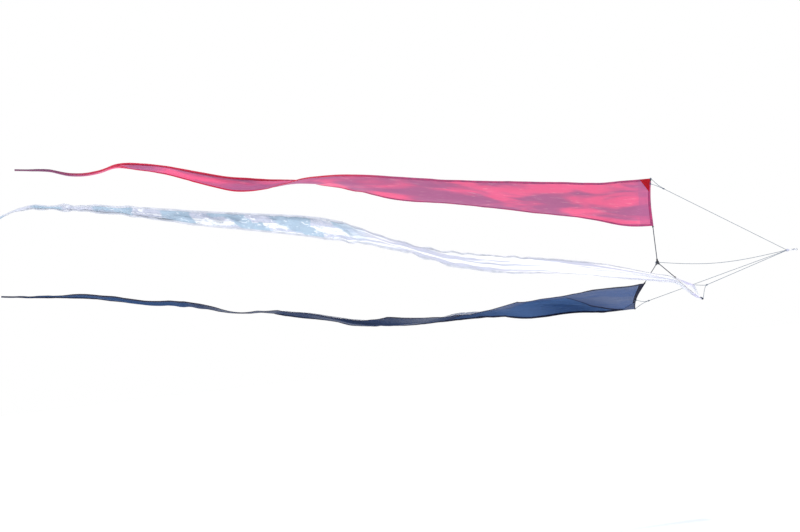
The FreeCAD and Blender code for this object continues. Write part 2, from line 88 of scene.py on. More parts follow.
back = Vector((
    math.sin(CAMERA_AZIMUTH) * math.cos(CAMERA_ELEVATION),
    -math.cos(CAMERA_AZIMUTH) * math.cos(CAMERA_ELEVATION),
    math.sin(CAMERA_ELEVATION),
))
level_right = Vector((math.cos(CAMERA_AZIMUTH), math.sin(CAMERA_AZIMUTH), 0))
level_up = back.cross(level_right)
right = math.cos(CAMERA_ROLL) * level_right + math.sin(CAMERA_ROLL) * level_up
up = back.cross(right)
camera = bpy.data.objects.new("camera", bpy.data.cameras.new("camera"))
bpy.context.scene.collection.objects.link(camera)
camera.matrix_world = Matrix.Translation(CAMERA_PLACE) @ Matrix((right, up, back)).transposed().to_4x4()
camera.data.lens = CAMERA_LENS
camera.data.clip_end = 200
bpy.context.scene.camera = camera
print("camera at", [round(v, 2) for v in camera.location])

# %% [markdown]
# The stage is one wide pale floor, well below the spinner, under a white sky. A soft blue-white sky
# lights the shaded sides of the cloth. One sun stands high, so that it grazes the cloth and shows every
# fold. The sky that the camera sees is plain white; the sky that lights the cloth is a little blue.

# %% Stage and light
FLOOR_HEIGHT, FLOOR_SIZE = -1.3, 160
SKY_COLOUR, SKY_STRENGTH = (0.70, 0.80, 1.0, 1), 0.62
bpy.ops.mesh.primitive_plane_add(size=FLOOR_SIZE, location=(0, 0, FLOOR_HEIGHT))
floor = bpy.context.object
floor.name = "floor"

world = bpy.data.worlds.new("pale_sky")
bpy.context.scene.world = world
world.use_nodes = True
nodes, links = world.node_tree.nodes, world.node_tree.links
sky = nodes["Background"]
sky.inputs["Color"].default_value = SKY_COLOUR
sky.inputs["Strength"].default_value = SKY_STRENGTH
seen = nodes.new("ShaderNodeBackground")
seen.inputs["Color"].default_value = (1, 1, 1, 1)
seen.inputs["Strength"].default_value = 1.0
path = nodes.new("ShaderNodeLightPath")
chosen = nodes.new("ShaderNodeMixShader")
links.new(path.outputs["Is Camera Ray"], chosen.inputs["Fac"])
links.new(sky.outputs[0], chosen.inputs[1])
links.new(seen.outputs[0], chosen.inputs[2])
links.new(chosen.outputs[0], nodes["World Output"].inputs["Surface"])


def sun(name, strength, azimuth, elevation, spread):
    """A sun seen from the spinner at an azimuth (0 is the camera's side, -Y) and an elevation."""
    lamp = bpy.data.objects.new(name, bpy.data.lights.new(name, "SUN"))
    lamp.data.energy = strength
    lamp.data.angle = math.radians(spread)
    away = Vector((
        math.sin(math.radians(azimuth)) * math.cos(math.radians(elevation)),
        -math.cos(math.radians(azimuth)) * math.cos(math.radians(elevation)),
        math.sin(math.radians(elevation)),
    ))
    lamp.rotation_euler = away.to_track_quat("Z", "Y").to_euler()
    bpy.context.scene.collection.objects.link(lamp)


sun("high_sun", strength=2.9, azimuth=-30, elevation=55, spread=8)
sun("back_sun", strength=1.2, azimuth=165, elevation=35, spread=20)
bpy.context.scene.view_settings.view_transform = "Standard"
print("stage and light ready")

# %% [markdown]
# The materials are built from small helpers: each adds one kind of node and joins it to its inputs. A
# maths helper keeps the long formulas of a weave readable.

# %% Material helpers
def add(tree, kind, **settings):
    """A new node; settings that aren't the node's own properties are values of its inputs."""
    node = tree.nodes.new(kind)
    for key, value in settings.items():
        if hasattr(node, key):
            setattr(node, key, value)
        else:
            node.inputs[key.replace("_", " ")].default_value = value
    return node


def maths(tree, operation, first, second=None):
    """A Math node's output; each input is a number or a socket."""
    node = tree.nodes.new("ShaderNodeMath")
    node.operation = operation
    for socket, value in zip(node.inputs, (first, second)):
        if value is None:
            continue
        if isinstance(value, (int, float)):
            socket.default_value = value
        else:
            tree.links.new(value, socket)
    return node.outputs[0]


def mixed(tree, factor, first, second):
    """A colour mix; factor is a number or socket, the colours are sockets or RGB values."""
    node = tree.nodes.new("ShaderNodeMix")
    node.data_type = "RGBA"
    for socket, value in ((node.inputs[0], factor), (node.inputs[6], first), (node.inputs[7], second)):
        if isinstance(value, (int, float)):
            socket.default_value = value
        elif isinstance(value, tuple):
            socket.default_value = (*value, 1)
        else:
            tree.links.new(value, socket)
    return node.outputs[2]


def ramp(tree, factor, low, high):
    """A smooth step from 0 at low to 1 at high."""
    node = add(tree, "ShaderNodeMapRange", interpolation_type="SMOOTHSTEP")
    node.inputs["From Min"].default_value = low
    node.inputs["From Max"].default_value = high
    tree.links.new(factor, node.inputs["Value"])
    return node.outputs["Result"]


def noise_over(tree, place, **settings):
    """The value of a noise pattern laid over a place socket."""
    node = add(tree, "ShaderNodeTexNoise", **settings)
    tree.links.new(place, node.inputs["Vector"])
    return node.outputs["Fac"]


def uv_map(tree):
    return add(tree, "ShaderNodeUVMap", uv_map="UVMap").outputs["UV"]


def along_and_across(tree, vector):
    """The first two coordinates of a vector socket."""
    split = add(tree, "ShaderNodeSeparateXYZ")
    tree.links.new(vector, split.inputs[0])
    return split.outputs["X"], split.outputs["Y"]


def wave(tree, cycles):
    """A sine wave, from a socket that counts its cycles."""
    return maths(tree, "SINE", maths(tree, "MULTIPLY", cycles, 2 * math.pi))


def bumped(tree, height, strength, distance, under=None):
    """The normal of a surface bumped by a height socket, on top of the normal under it if there is one."""
    bump = add(tree, "ShaderNodeBump", Strength=strength, Distance=distance)
    tree.links.new(height, bump.inputs["Height"])
    if under is not None:
        tree.links.new(under, bump.inputs["Normal"])
    return bump.outputs[0]


def new_material(name):
    material = bpy.data.materials.new(name)
    material.use_nodes = True
    return material, material.node_tree, material.node_tree.nodes["Principled BSDF"]


def new_group(name, inputs, outputs):
    """A shader node group with named float or vector sockets."""
    group = bpy.data.node_groups.new(name, "ShaderNodeTree")
    for label, kind, value in inputs:
        socket = group.interface.new_socket(name=label, in_out="INPUT", socket_type=kind)
        if value is not None:
            socket.default_value = value
    for label, kind in outputs:
        group.interface.new_socket(name=label, in_out="OUTPUT", socket_type=kind)
    return group, group.nodes.new("NodeGroupInput"), group.nodes.new("NodeGroupOutput")


def light_through(tree, shader, colour, share, normal):
    """Lets a share of the light come through thin cloth from behind."""
    through = add(tree, "ShaderNodeBsdfTranslucent")
    tree.links.new(colour, through.inputs["Color"])
    tree.links.new(normal, through.inputs["Normal"])
    sheet = tree.nodes.new("ShaderNodeMixShader")
    sheet.inputs["Fac"].default_value = share
    tree.links.new(shader.outputs[0], sheet.inputs[1])
    tree.links.new(through.outputs[0], sheet.inputs[2])
    tree.links.new(sheet.outputs[0], tree.nodes["Material Output"].inputs["Surface"])


def use_group(tree, group, vector=None, **values):
    node = tree.nodes.new("ShaderNodeGroup")
    node.node_tree = group
    if vector is not None:
        tree.links.new(vector, node.inputs["Vector"])
    for label, value in values.items():
        node.inputs[label.replace("_", " ")].default_value = value
    return node


print("material helpers ready")

# %% [markdown]
# Ripstop nylon is a thin plain weave with a thicker thread every five millimetres both ways, which makes
# its square grid. The cloth's UV map is in metres, so the group can count threads straight from it. It
# puts out a mask of the thick threads and a height for the bump.

# %% Ripstop weave group
RIPSTOP_PITCH = 0.005
# half a thick thread's width and the fine threads' pitch, as shares of the grid's pitch, then the fine
# threads' height as a share of the thick ones'
GRID_HALF_WIDTH, FINE_PITCH, FINE_HEIGHT = 0.05, 0.06, 0.12


def thread_lines(tree, along, pitch, half_width):
    """1 on a thin line every pitch along a coordinate, 0 between the lines."""
    cell = maths(tree, "FRACT", maths(tree, "DIVIDE", along, pitch))
    off = maths(tree, "ABSOLUTE", maths(tree, "SUBTRACT", cell, 0.5))
    return maths(tree, "LESS_THAN", off, half_width)


ripstop, group_in, group_out = new_group(
    "ripstop_weave",
    [("Vector", "NodeSocketVector", None), ("Pitch", "NodeSocketFloat", RIPSTOP_PITCH)],
    [("Grid", "NodeSocketFloat"), ("Height", "NodeSocketFloat")],
)
pitch = group_in.outputs["Pitch"]
fine_pitch = maths(ripstop, "MULTIPLY", pitch, FINE_PITCH)
lines, waves = [], []
for run in along_and_across(ripstop, group_in.outputs["Vector"]):
    lines.append(thread_lines(ripstop, run, pitch, GRID_HALF_WIDTH))
    waves.append(wave(ripstop, maths(ripstop, "DIVIDE", run, fine_pitch)))
grid = maths(ripstop, "MAXIMUM", *lines)
threads = maths(ripstop, "MULTIPLY", maths(ripstop, "ADD", *waves), FINE_HEIGHT)
ripstop.links.new(grid, group_out.inputs["Grid"])
ripstop.links.new(maths(ripstop, "ADD", grid, threads), group_out.inputs["Height"])
print("ripstop weave group ready")

# %% [markdown]
# A braided cord shows two families of strands that cross. With a UV map that runs in metres along the
# cord and from 0 to 1 around it, each family is a slanted wave, and the higher of the two is the strand
# on top.

# %% Braid group
BRAID_PITCH, BRAID_STRANDS = 0.0016, 4.0
braid, group_in, group_out = new_group(
    "cord_braid",
    [
        ("Vector", "NodeSocketVector", None), ("Pitch", "NodeSocketFloat", BRAID_PITCH),
        ("Strands", "NodeSocketFloat", BRAID_STRANDS),
    ],
    [("Over", "NodeSocketFloat"), ("Height", "NodeSocketFloat")],
)
along_cord, round_cord = along_and_across(braid, group_in.outputs["Vector"])
run = maths(braid, "DIVIDE", along_cord, group_in.outputs["Pitch"])
turn = maths(braid, "MULTIPLY", round_cord, group_in.outputs["Strands"])
right_lay = wave(braid, maths(braid, "ADD", run, turn))
left_lay = wave(braid, maths(braid, "SUBTRACT", run, turn))
braid.links.new(maths(braid, "MULTIPLY", right_lay, left_lay), group_out.inputs["Over"])
braid.links.new(maths(braid, "MAXIMUM", right_lay, left_lay), group_out.inputs["Height"])
print("braid group ready")

# %% [markdown]
# Wear and dust are the same kind of thing on every hard piece: a soft noise that lightens the colour and
# roughens the surface, and fine scratches. One group does it for the plastic, the rods and the metal.

# %% Handling wear group
wear, group_in, group_out = new_group(
    "handling_wear",
    [
        ("Vector", "NodeSocketVector", None), ("Scale", "NodeSocketFloat", 60.0),
        ("Amount", "NodeSocketFloat", 0.5),
    ],
    [("Dust", "NodeSocketFloat"), ("Height", "NodeSocketFloat")],
)
clouds = add(wear, "ShaderNodeTexNoise", Detail=6.0, Roughness=0.65)
specks = add(wear, "ShaderNodeTexNoise", Detail=2.0)
wear.links.new(group_in.outputs["Vector"], clouds.inputs["Vector"])
wear.links.new(group_in.outputs["Vector"], specks.inputs["Vector"])
wear.links.new(group_in.outputs["Scale"], clouds.inputs["Scale"])
wear.links.new(maths(wear, "MULTIPLY", group_in.outputs["Scale"], 14.0), specks.inputs["Scale"])
soft = ramp(wear, clouds.outputs["Fac"], 0.42, 0.72)
wear.links.new(maths(wear, "MULTIPLY", soft, group_in.outputs["Amount"]), group_out.inputs["Dust"])
wear.links.new(specks.outputs["Fac"], group_out.inputs["Height"])
print("handling wear group ready")

# %% [markdown]
# What makes the cloth look like cloth is a stack of layers over its UV map: noise stretched along the
# streamer for streaks of painted highlight, slanted facets of painted shade where it is crumpled, fine
# dark lines of painted shade and bright lines of painted highlight, and one sharp crease with painted
# shade along it and painted light beyond it. Each layer is a small function that returns a mask, so that
# a streamer can take the ones that it needs.

# %% Cloth layers
def stretched(tree, uv, scale, turn=0.0):
    """The UV map scaled along and across, then turned, for a pattern that is longer than it is wide."""
    node = add(tree, "ShaderNodeMapping")
    node.inputs["Scale"].default_value = (*scale, 1)
    node.inputs["Rotation"].default_value = (0, 0, turn)
    tree.links.new(uv, node.inputs["Vector"])
    return node.outputs[0]


def slanted_facets(tree, uv, along, across):
    """A mask of slanted patches along the cloth with ragged edges, which take painted shade."""
    ragged = noise_over(tree, uv, Scale=9.0, Detail=3.0)
    run = maths(tree, "ADD", along, maths(tree, "MULTIPLY", across, FACET_SLANT))
    run = maths(tree, "ADD", run, maths(tree, "MULTIPLY", ragged, FACET_RAGGED))
    cell = maths(tree, "FRACT", maths(tree, "DIVIDE", run, FACET_PITCH))
    return maths(tree, "SUBTRACT", ramp(tree, cell, 0.36, 0.42), ramp(tree, cell, 0.84, 0.97))


def crumple_lines(tree, uv):
    """Masks of the fine dark lines of painted shade and bright lines of painted highlight on crumpled
    cloth.
    """
    fine = noise_over(
        tree, stretched(tree, uv, (34.0, 60.0), 0.6), Scale=1.0, Detail=3.0, Roughness=0.5, Distortion=1.2,
    )
    from_middle = maths(tree, "ABSOLUTE", maths(tree, "SUBTRACT", fine, 0.5))
    dark = maths(tree, "SUBTRACT", 1.0, ramp(tree, from_middle, 0.008, 0.035))
    return maths(tree, "MULTIPLY", dark, 0.75), ramp(tree, fine, 0.60, 0.68)


def crease_masks(tree, along, across, places):
    """Masks of painted light beyond a sharp crease and painted shade along it; places are (along, across)
    in metres.
    """
    reach = places[-1][0]
    curve = add(tree, "ShaderNodeValToRGB")
    stops = curve.color_ramp.elements
    while len(stops) < len(places):
        stops.new(0.5)
    for stop, (place, height) in zip(stops, places):
        stop.position = place / reach
        stop.color = (*[height / CREASE_SPAN + 0.5] * 3, 1)
    tree.links.new(maths(tree, "DIVIDE", along, reach), curve.inputs["Fac"])
    crease = maths(tree, "MULTIPLY", maths(tree, "SUBTRACT", curve.outputs["Color"], 0.5), CREASE_SPAN)
    past = maths(tree, "SUBTRACT", across, crease)
    inside = maths(tree, "LESS_THAN", along, reach)
    near = maths(tree, "SUBTRACT", 1.0, ramp(tree, maths(tree, "ABSOLUTE", past), 0.0020, 0.0055))
    beyond = maths(tree, "MULTIPLY", ramp(tree, past, 0.0, 0.004), 0.75)
    return maths(tree, "MULTIPLY", beyond, inside), maths(tree, "MULTIPLY", near, inside)


FACET_PITCH, FACET_SLANT, FACET_RAGGED = 0.25, 1.5, 0.30
CREASE_SPAN = 0.25  # metres across that the crease's curve covers
BLUE_CREASE = [
    (0.0, 0.112), (0.075, 0.102), (0.22, 0.066), (0.30, 0.020), (0.39, -0.045), (0.55, -0.02),
    (0.71, 0.005), (1.0, 0.075),
]
print("cloth layers ready")

# %% [markdown]
# The streamers' cloth lets light through. A thin sheet is best shown by mixing a Principled shader, for
# the light it sends back, with a Translucent one, for the light that comes through it from behind, which
# is its glow. Each cloth has two broad colours, main and shade, with pale streaks of painted highlight
# along it. The red mouth has a doubled edge, which is a front band; the blue mouth's front band is its
# doubled edge darkened near black by painted shade of the sleeve. Far bands are (start, full, strength,
# colour) along the cloth, in metres. The white cloth also has slanted facets of painted shade and fine
# crumple lines of painted shade and painted highlight, and the blue cloth has one sharp crease behind its
# mouth, with painted shade along it and painted light on the strip beyond it.

# %% Streamer cloth
def cloth_material(
    name, main, shade, pale, grid, glow, glow_share, wrinkle, broad_scale=(3, 16), streak_scale=(14, 150),
    broad_edge=(0.40, 0.60), shine=0.5, far=(), front_band=None, facet_shade=None, crease=None,
):
    """Ripstop nylon; front_band is (width, strength, colour) and facet (start, colour, line colour) of
    painted shade.
    """
    material, tree, shader = new_material(name)
    uv = uv_map(tree)
    along, across = along_and_across(tree, uv)
    weave = use_group(tree, ripstop, uv, Pitch=RIPSTOP_PITCH)
    broad = noise_over(tree, stretched(tree, uv, broad_scale), Scale=1.0, Detail=2.5, Distortion=0.6)
    lengthwise = stretched(tree, uv, streak_scale)
    highlight_streaks = noise_over(tree, lengthwise, Scale=1.0, Detail=5.0, Roughness=0.6, Distortion=0.8)
    patches = ramp(tree, broad, *broad_edge)
    colour = mixed(tree, patches, main, shade)
    # Painted highlights: pale streaks laid along the cloth by stretched noise.
    colour = mixed(tree, maths(tree, "MULTIPLY", ramp(tree, highlight_streaks, 0.57, 0.74), 0.7), colour, pale)
    colour = mixed(tree, maths(tree, "MULTIPLY", weave.outputs["Grid"], 0.35), colour, grid)
    glow_colour = mixed(tree, patches, glow, shade)
    if facet_shade:
        start, tint, crumple_shade_tint = facet_shade
        # Painted shade on the slanted facets of the crumpled white cloth, in its colour and in its glow.
        begun = ramp(tree, along, start - 0.1, start + 0.1)
        facet_shade_mask = maths(tree, "MULTIPLY", slanted_facets(tree, uv, along, across), begun)
        dark, crumple_highlight = crumple_lines(tree, uv)
        colour = mixed(tree, facet_shade_mask, colour, tint)
        glow_colour = mixed(tree, facet_shade_mask, glow_colour, tint)
        # Crumple lines: painted shade in the dark ones, painted highlight in the bright ones.
        colour = mixed(tree, maths(tree, "MULTIPLY", dark, begun), colour, crumple_shade_tint)
        colour = mixed(tree, maths(tree, "MULTIPLY", crumple_highlight, begun), colour, pale)
    if crease:
        # The blue crease is painted: painted light on the strip beyond it, painted shade along its line.
        places, lit_strip_tint, crease_shade_tint = crease
        beyond, line = crease_masks(tree, along, across, places)
        colour = mixed(tree, beyond, colour, lit_strip_tint)
    for start, full, most, tint in far:
        colour = mixed(tree, maths(tree, "MULTIPLY", ramp(tree, along, start, full), most), colour, tint)
    if crease:
        colour = mixed(tree, line, colour, crease_shade_tint)
    # Front band along the mouth: the doubled edge; on blue it is darkened near black by painted shade of
    # the sleeve.
    if front_band:
        band_width, band_strength, band_tint = front_band
        mouth_band = maths(tree, "MULTIPLY", maths(tree, "LESS_THAN", along, band_width), band_strength)
        colour = mixed(tree, mouth_band, colour, band_tint)
        glow_colour = mixed(tree, mouth_band, glow_colour, band_tint)
    creases = noise_over(
        tree, lengthwise, noise_type="RIDGED_MULTIFRACTAL", Scale=0.8, Detail=4.0, Roughness=0.45,
        Distortion=0.7,
    )
    crumpled = bumped(tree, creases, strength=0.9, distance=wrinkle)
    normal = bumped(tree, weave.outputs["Height"], strength=0.35, distance=0.0004, under=crumpled)
    tree.links.new(colour, shader.inputs["Base Color"])
    tree.links.new(normal, shader.inputs["Normal"])
    shader.inputs["Roughness"].default_value = 0.48
    shader.inputs["Specular IOR Level"].default_value = shine
    light_through(tree, shader, glow_colour, glow_share, normal)
    return material


CLOTH = {
    "red": cloth_material(
        "red_ripstop", (0.76, 0.195, 0.34), (0.54, 0.185, 0.35), (1.0, 0.66, 0.75), (0.66, 0.10, 0.22),
        (1.0, 0.22, 0.42), 0.5, wrinkle=0.0018,
        far=[(2.50, 2.75, 0.85, (0.16, 0.05, 0.13))], front_band=(0.060, 0.45, (0.56, 0.18, 0.36)),
    ),
    "white": cloth_material(
        "white_ripstop", (0.96, 0.95, 0.91), (0.66, 0.66, 0.73), (1.0, 1.0, 1.0), (0.74, 0.77, 0.84),
        (0.96, 0.95, 0.93), 0.35, wrinkle=0.004,
        broad_scale=(1.3, 55), streak_scale=(3, 150), broad_edge=(0.46, 0.54),
        # the white cloth's slanted facets and crumple lines are painted shade
        facet_shade=(1.55, (0.50, 0.61, 0.69), (0.42, 0.49, 0.58)),
    ),
    "blue": cloth_material(
        "blue_ripstop", (0.098, 0.132, 0.235), (0.060, 0.105, 0.24), (0.16, 0.21, 0.36), (0.02, 0.04, 0.10),
        (0.05, 0.12, 0.30), 0.25, wrinkle=0.0025, shine=0.15,
        far=[(0.45, 1.1, 0.85, (0.007, 0.018, 0.055)), (2.10, 2.25, 0.8, (0.022, 0.066, 0.17))],
        # doubled edge, near black with the sleeve's painted shade
        front_band=(0.012, 0.9, (0.004, 0.005, 0.016)),
        # crease: painted light on the strip beyond it, painted shade along it
        crease=(BLUE_CREASE, (0.045, 0.115, 0.27), (0.012, 0.016, 0.045)),
    ),
}
print("cloth:", ", ".join(m.name for m in CLOTH.values()))

# %% [markdown]
# Hems and corner patches are several layers of cloth, so less light comes through and their colour is
# deeper. Two rows of stitches run along them. The stitches are counted from the UV map too: a dash every
# three millimetres, on a line near each edge.

# %% Hem and patch cloth
# how far apart the stitches start, how much of that is thread, half a thread, and the rows across the hem
STITCH_PITCH, STITCH_SHARE, STITCH_HALF_WIDTH = 0.003, 0.7, 0.00025
STITCH_ROWS = (0.002, 0.006)


def hem_material(name, main, dark, thread, far=()):
    """Folded cloth with stitched rows; the UV map runs along the hem and across it, in metres."""
    material, tree, shader = new_material(name)
    uv = uv_map(tree)
    along, across = along_and_across(tree, uv)
    weave = use_group(tree, ripstop, uv, Pitch=RIPSTOP_PITCH)
    cloud = noise_over(tree, uv, Scale=30.0, Detail=4.0)
    colour = mixed(tree, ramp(tree, cloud, 0.35, 0.65), main, dark)
    for start, full, tint in far:
        colour = mixed(tree, ramp(tree, along, start, full), colour, tint)
    count = maths(tree, "FRACT", maths(tree, "DIVIDE", along, STITCH_PITCH))
    dash = maths(tree, "LESS_THAN", count, STITCH_SHARE)
    rows = []
    for place in STITCH_ROWS:
        off = maths(tree, "ABSOLUTE", maths(tree, "SUBTRACT", across, place))
        rows.append(maths(tree, "LESS_THAN", off, STITCH_HALF_WIDTH))
    stitches = maths(tree, "MULTIPLY", dash, maths(tree, "MAXIMUM", *rows))
    colour = mixed(tree, stitches, colour, thread)
    tree.links.new(colour, shader.inputs["Base Color"])
    shader.inputs["Roughness"].default_value = 0.55
    shader.inputs["Specular IOR Level"].default_value = 0.2
    height = maths(tree, "ADD", weave.outputs["Height"], maths(tree, "MULTIPLY", stitches, 2.0))
    normal = bumped(tree, height, strength=0.5, distance=0.0004)
    tree.links.new(normal, shader.inputs["Normal"])
    light_through(tree, shader, colour, 0.22, normal)
    return material


HEM = {
    "red": hem_material(
        "red_hem_cloth", (0.50, 0.05, 0.17), (0.32, 0.05, 0.15), (0.75, 0.25, 0.34),
        far=[(1.2, 1.6, (0.62, 0.01, 0.05)), (2.50, 2.75, (0.14, 0.03, 0.10))],
    ),
    "white": hem_material("white_hem_cloth", (0.74, 0.74, 0.78), (0.60, 0.61, 0.65), (0.8, 0.8, 0.8)),
    "blue": hem_material("blue_hem_cloth", (0.008, 0.010, 0.035), (0.005, 0.006, 0.02), (0.06, 0.08, 0.16)),
}
PATCH = {
    "red": hem_material("red_patch_cloth", (0.44, 0.0, 0.008), (0.36, 0.0, 0.006), (0.6, 0.08, 0.10)),
    # The white patch cloth is also the painted shade on the white sleeve's belly.
    "white": hem_material("white_patch_cloth", (0.70, 0.66, 0.80), (0.62, 0.60, 0.74), (0.9, 0.9, 0.95)),
    "blue": hem_material("blue_patch_cloth", (0.065, 0.09, 0.18), (0.04, 0.06, 0.12), (0.15, 0.2, 0.3)),
}
print("hems and patches:", ", ".join(m.name for m in [*HEM.values(), *PATCH.values()]))

# %% [markdown]
# The cords are braided polyester in a weathered grey-blue; the head of the bridle is a paler cord. The
# hard pieces are black moulded plastic, dark pultruded rod and nickel plate, each with its own grain.

# %% Cord and hard finishes
def cord_material(name, light, dark):
    material, tree, shader = new_material(name)
    uv = uv_map(tree)
    lay = use_group(tree, braid, uv, Pitch=BRAID_PITCH, Strands=BRAID_STRANDS)
    fleck = noise_over(tree, uv, Scale=400.0, Detail=2.0)
    # The braid is darker where a strand lies under the other: painted shade in its grooves, over one cord
    # colour.
    over = ramp(tree, lay.outputs["Over"], -0.5, 0.6)
    colour = mixed(tree, over, dark, light)
    colour = mixed(tree, ramp(tree, fleck, 0.58, 0.7), colour, light)
    tree.links.new(colour, shader.inputs["Base Color"])
    shader.inputs["Roughness"].default_value = 0.62
    shader.inputs["Sheen Weight"].default_value = 0.2
    normal = bumped(tree, lay.outputs["Height"], strength=0.8, distance=0.0003)
    tree.links.new(normal, shader.inputs["Normal"])
    return material


def hard_material(name, main, dust, scale, roughness, metallic=0.0, grain=(1, 1, 1), coat=0.0):
    """Plastic, rod or plate: grain stretches the wear pattern along the piece."""
    material, tree, shader = new_material(name)
    place = add(tree, "ShaderNodeTexCoord").outputs["Object"]
    stretch = add(tree, "ShaderNodeMapping")
    stretch.inputs["Scale"].default_value = grain
    tree.links.new(place, stretch.inputs["Vector"])
    worn = use_group(tree, wear, stretch.outputs[0], Scale=scale, Amount=0.55)
    tree.links.new(mixed(tree, worn.outputs["Dust"], main, dust), shader.inputs["Base Color"])
    spread = maths(tree, "MULTIPLY", worn.outputs["Dust"], 0.25)
    tree.links.new(maths(tree, "ADD", spread, roughness), shader.inputs["Roughness"])
    shader.inputs["Metallic"].default_value = metallic
    shader.inputs["Coat Weight"].default_value = coat
    normal = bumped(tree, worn.outputs["Height"], strength=0.25, distance=0.0002)
    tree.links.new(normal, shader.inputs["Normal"])
    return material


CORD = cord_material("grey_blue_cord", (0.07, 0.13, 0.21), (0.02, 0.045, 0.08))
PALE_CORD = cord_material("pale_cord", (0.62, 0.62, 0.70), (0.40, 0.40, 0.50))
HUB_PLASTIC = hard_material("black_moulding", (0.012, 0.012, 0.014), (0.10, 0.10, 0.11), 90, 0.42)
CAP_VINYL = hard_material("black_vinyl", (0.010, 0.010, 0.012), (0.07, 0.07, 0.08), 140, 0.5)
ROD_GLASS = hard_material(
    "dark_rod", (0.010, 0.014, 0.026), (0.05, 0.06, 0.09), 160, 0.3, grain=(1, 1, 0.2), coat=0.3,
)
NICKEL = hard_material("nickel_plate", (0.62, 0.62, 0.64), (0.42, 0.42, 0.45), 300, 0.22, metallic=1.0)


def floor_material():
    """A matt pale floor with the faintest mottle."""
    material, tree, shader = new_material("pale_floor")
    place = add(tree, "ShaderNodeTexCoord").outputs["Object"]
    mottle = noise_over(tree, place, Scale=0.6, Detail=3.0)
    pale = mixed(tree, mottle, (0.93, 0.93, 0.93), (0.95, 0.95, 0.95))
    tree.links.new(pale, shader.inputs["Base Color"])
    shader.inputs["Roughness"].default_value = 0.9
    shader.inputs["Specular IOR Level"].default_value = 0.1
    shader.inputs["Emission Color"].default_value = (1, 1, 1, 1)
    shader.inputs["Emission Strength"].default_value = 0.25
    return material


floor.data.materials.append(floor_material())
print("cords and hard finishes ready")

# %% [markdown]
# The hard pieces keep their CAD shapes. Each one only takes its finish.

# %% Finish the CAD pieces
def finish_node(name, material):
    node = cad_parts[name]
    node.data.materials.clear()
    node.data.materials.append(material)
    for face in node.data.polygons:
        face.material_index = 0


HARD = {"hub": HUB_PLASTIC}
for name in ("swivel_body", "swivel_cap", "swivel_shaft", "swivel_balls"):
    HARD[name] = NICKEL
for colour in ARM_TURN:
    HARD |= {f"{colour}_rod": ROD_GLASS, f"{colour}_stop": CAP_VINYL, f"{colour}_tip_cap": CAP_VINYL}
for name, material in HARD.items():
    finish_node(name, material)
print(len(HARD), "CAD pieces finished")

# %% [markdown]
# Each streamer follows a course through the air. A station of a course says how far it is behind the
# arms, where the middle of the cloth is, and how far the cross-section has rolled. Between stations a
# smooth cubic curve fills in, so a long ribbon needs only a score of them.

# %% Courses
COURSES = {
    "red": [
        (0.005, 0, 0.288, 90), (0.060, 0, 0.288, 95), (0.250, -0.015, 0.3, 126),
        (0.500, -0.03, 0.328, 133), (0.750, -0.03, 0.362, 139), (1.000, -0.015, 0.397, 143),
        (1.250, 0.01, 0.436, 138), (1.400, 0.02, 0.467, 148), (1.550, 0.025, 0.49, 163),
        (1.690, 0.02, 0.5, 186), (1.830, 0.005, 0.49, 218), (1.970, -0.015, 0.498, 256),
        (2.120, -0.03, 0.532, 247), (2.270, -0.035, 0.576, 230), (2.400, -0.025, 0.6, 226),
        (2.465, -0.015, 0.61, 198), (2.540, -0.005, 0.59, 181), (2.640, 0.01, 0.587, 173),
        (2.740, 0.015, 0.613, 172), (2.870, 0.005, 0.624, 174),
    ],
    "white": [
        (0.005, -0.249, -0.144, 210), (0.035, -0.249, -0.13, 210), (0.090, -0.247, -0.099, 199),
        (0.190, -0.243, -0.074, 200), (0.340, -0.24, -0.044, 206), (0.630, -0.24, 0.007, 211),
        (0.930, -0.25, 0.047, 220), (1.155, -0.262, 0.092, 218), (1.360, -0.268, 0.162, 213),
        (1.480, -0.266, 0.203, 223), (1.620, -0.26, 0.243, 245), (1.745, -0.252, 0.271, 260),
        (1.985, -0.24, 0.311, 270), (2.200, -0.238, 0.345, 288), (2.395, -0.244, 0.38, 306),
        (2.590, -0.254, 0.408, 314), (2.720, -0.258, 0.42, 322), (2.890, -0.255, 0.421, 335),
        (2.970, -0.248, 0.388, 336),
    ],
    "blue": [
        (0.005, 0.249, -0.144, 330), (0.060, 0.249, -0.144, 330), (0.280, 0.252, -0.133, 319),
        (0.440, 0.255, -0.132, 321), (0.680, 0.262, -0.137, 341), (0.910, 0.268, -0.143, 352),
        (1.136, 0.268, -0.154, 350), (1.282, 0.262, -0.146, 345), (1.426, 0.252, -0.13, 350),
        (1.565, 0.242, -0.094, 356), (1.702, 0.236, -0.062, 352), (1.839, 0.236, -0.041, 358),
        (1.974, 0.242, -0.032, 359), (2.105, 0.252, 0.003, 352), (2.234, 0.26, 0.031, 346),
        (2.364, 0.262, 0.047, 346), (2.490, 0.258, 0.076, 338), (2.614, 0.25, 0.101, 336),
        (2.738, 0.245, 0.112, 343), (2.962, 0.25, 0.131, 350),
    ],
}


def smooth_track(places, values, at):
    """A cubic curve through values at places, sloped by their neighbours, read at an array of places."""
    places, values, at = (np.asarray(a, float) for a in (places, values, at))
    slopes = np.gradient(values, places)
    k = np.clip(np.searchsorted(places, at) - 1, 0, len(places) - 2)
    span = places[k + 1] - places[k]
    t = (at - places[k]) / span
    return (
        (2 * t**3 - 3 * t**2 + 1) * values[k] + (t**3 - 2 * t**2 + t) * span * slopes[k]
        + (3 * t**2 - 2 * t**3) * values[k + 1] + (t**3 - t**2) * span * slopes[k + 1]
    )


def step(value, low, high):
    """A smooth step from 0 at low to 1 at high."""
    t = np.clip((value - low) / (high - low), 0, 1)
    return t * t * (3 - 2 * t)


def cut_width(behind):
    """The width that a streamer is cut to, at a distance behind the arm."""
    left = np.clip(1 - behind / STREAMER_LENGTH, 0, 1)
    return TAIL_WIDTH + (MOUTH_WIDTH - TAIL_WIDTH) * left**TAPER_POWER


